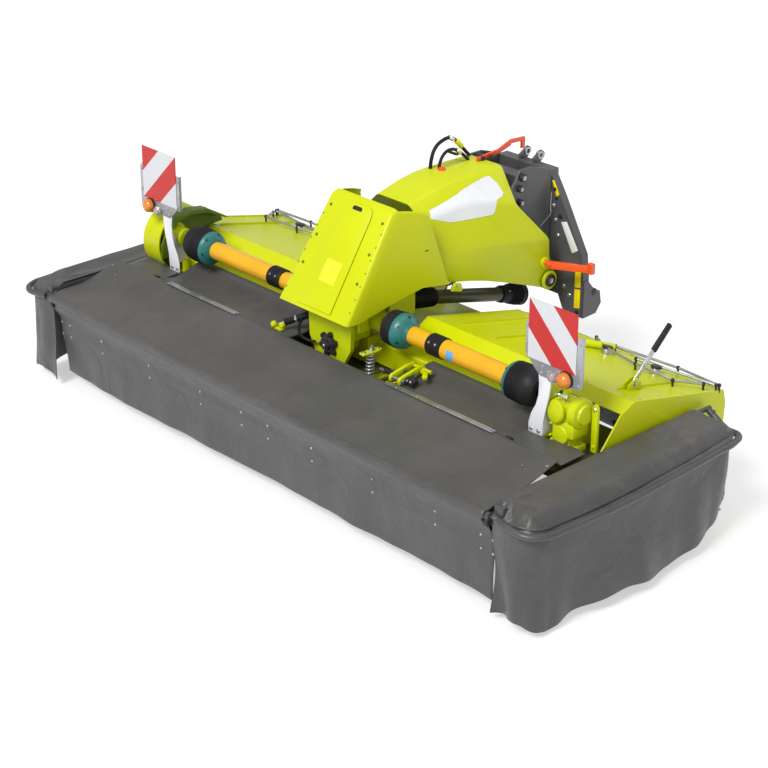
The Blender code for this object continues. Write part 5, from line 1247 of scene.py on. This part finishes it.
addRod(mesh, start, start + way * 0.062, 0.0132, 0.0145, 2, 22, 0.001)
addRod(mesh, start + way * 0.018, start + way * 0.026, 0.0150, None, 3, 22)
addTurned(mesh, ((0.0, 0.0), (0.0, 0.021), (0.012, 0.020), (0.020, 0.014), (0.024, 0.0)),
          (-0.030, 0.728, 1.322), (0, -0.2, 1), 4, 28)
addRod(mesh, (-0.030, 0.728, 1.300), (-0.030, 0.728, 1.326), 0.026, None, 0, 26, 0.003)
addBlock(mesh, (-0.100, 0.838, 1.375), (-0.040, 0.858, 1.383), 0, 0.002)
settle("pressure_hoses", mesh, [rubber, chrome, limeLabel, label, orange], "boom",
       ("hydraulic_hoses",))
print("headstock fittings and hoses made")


# ---- fittings on the conditioner hood ----
def hoodTop(y):
    return 0.735 - 0.2308 * (y - 0.35)


# the rods stand on short feet, a rise above the sloping hood
rods = {"radius": 0.0068, "rise": 0.034}
for side, word in ((-1, "left"), (1, "right")):
    mesh = bmesh.new()
    routes = (
        ((0.845, 0.955), (0.975, 0.865), (1.235, 0.792), (1.480, 0.772), (1.565, 0.895)),
        ((1.175, 0.868), (1.600, 0.948)),
        ((0.985, 0.935), (1.340, 0.985), (1.605, 0.965)),
    )
    for route in routes:
        addPipe(mesh, [mirrored(side, x, y, hoodTop(y) + rods["rise"]) for x, y in route], rods["radius"], 0,
                smooth=False, sides=4, steps=1)
        for x, y in route:
            addRod(mesh, mirrored(side, x, y, hoodTop(y) - 0.002),
                   mirrored(side, x, y, hoodTop(y) + rods["rise"]), 0.0055,
                   None, 1, 14)
            addTurned(mesh, ((-0.010, 0.0), (-0.009, 0.007), (0.0, 0.0105), (0.009, 0.007), (0.010, 0.0)),
                      mirrored(side, x, y, hoodTop(y) + rods["rise"]), (0, 0, 1), 1, 18)
    addRod(mesh, mirrored(side, 0.800, 0.775, hoodTop(0.775) + 0.022), mirrored(side, 0.985, 0.935,
                                                                                hoodTop(0.935) + 0.026),
           0.0190, None, 2, 28, 0.003)
    for x, y in ((0.990, 0.865), (1.300, 0.862)):
        foot = mirrored(side, x, y, hoodTop(y))
        addTurned(mesh, ((-0.002, 0.0), (-0.002, 0.030), (0.004, 0.030), (0.006, 0.024), (0.026, 0.022),
                         (0.030, 0.020), (0.030, 0.0)), foot, (0, 0.2308, 1), 0, 30)
        addTurned(mesh, ((0.028, 0.0), (0.029, 0.027), (0.036, 0.028), (0.041, 0.024), (0.042, 0.0)), foot,
                  (0, 0.2308, 1), 1, 30)
    settle(word + "_hood_rods", mesh, [zinc, plastic, lime], "frame", (word + "_swath_rods",))

    mesh = bmesh.new()
    for x, y, length in ((0.93, 0.52, 0.16), (1.20, 0.50, 0.16), (1.02, 0.66, 0.10), (1.38, 0.66, 0.10)):
        addBlock(mesh, *ordered(mirrored(side, x, y - 0.004, hoodTop(y) - 0.0015),
                                mirrored(side, x + length, y + 0.004, hoodTop(y) + 0.0012)), 1, 0.0008)
    for x in (0.55, 0.80, 1.05, 1.30, 1.52):
        for y in (0.372, 0.985):
            addBolt(mesh, mirrored(side, x, y, hoodTop(y)), (0, 0.2308, 1), 0.0075, 0)
    for y in (0.42, 0.55, 0.72, 0.90):
        addBolt(mesh, mirrored(side, 1.577, y, hoodTop(y)), (0, 0.2308, 1), 0.0065, 2)
    for x in (0.42, 0.66, 1.44):
        addPlate(mesh, [mirrored(side, x, y, hoodTop(y) - 0.001) for y in (0.40, 0.96)] +
                 [mirrored(side, x, y, hoodTop(y) + 0.013) for y in (0.93, 0.43)], (side * 0.004, 0, 0), 0,
                 0.001)
    settle(word + "_hood_bolts", mesh, [lime, greenDark, zinc], "frame")

mesh = bmesh.new()
way = Vector((0, 0.255, 0.235)).normalized()
foot = Vector((1.450, 0.505, 0.712))
wide = Vector((0, -way.z, way.y))
for low, high, half, slotIndex, thick in ((0.0, 0.240, 0.0145, 0, 0.007), (0.200, 0.352, 0.0155, 1, 0.019)):
    start, end = foot + way * low, foot + way * high
    corners = [start - wide * half, start + wide * half, end + wide * half * 0.9, end - wide * half * 0.9]
    addPlate(mesh, [c - Vector((thick / 2, 0, 0)) for c in corners], (thick, 0, 0), slotIndex, thick * 0.3)
addBolt(mesh, foot + way * 0.12 + Vector((0.0035, 0, 0)), (1, 0, 0), 0.008, 0)
for offset in (-0.018, 0.010):
    addPlate(mesh, [(1.450 + offset, y, z) for y, z in ((0.46, 0.700), (0.56, 0.680), (0.56, 0.725),
                                                        (0.535, 0.752), (0.505, 0.752), (0.47, 0.735))],
                                                        (0.008, 0, 0), 2, 0.0015)
addBolt(mesh, (1.468, 0.515, 0.728), (1, 0, 0), 0.011, 0)
settle("setting_bar", mesh, [zinc, rubber, lime], "frame", ("setting_lever",))
print("hood fittings made")
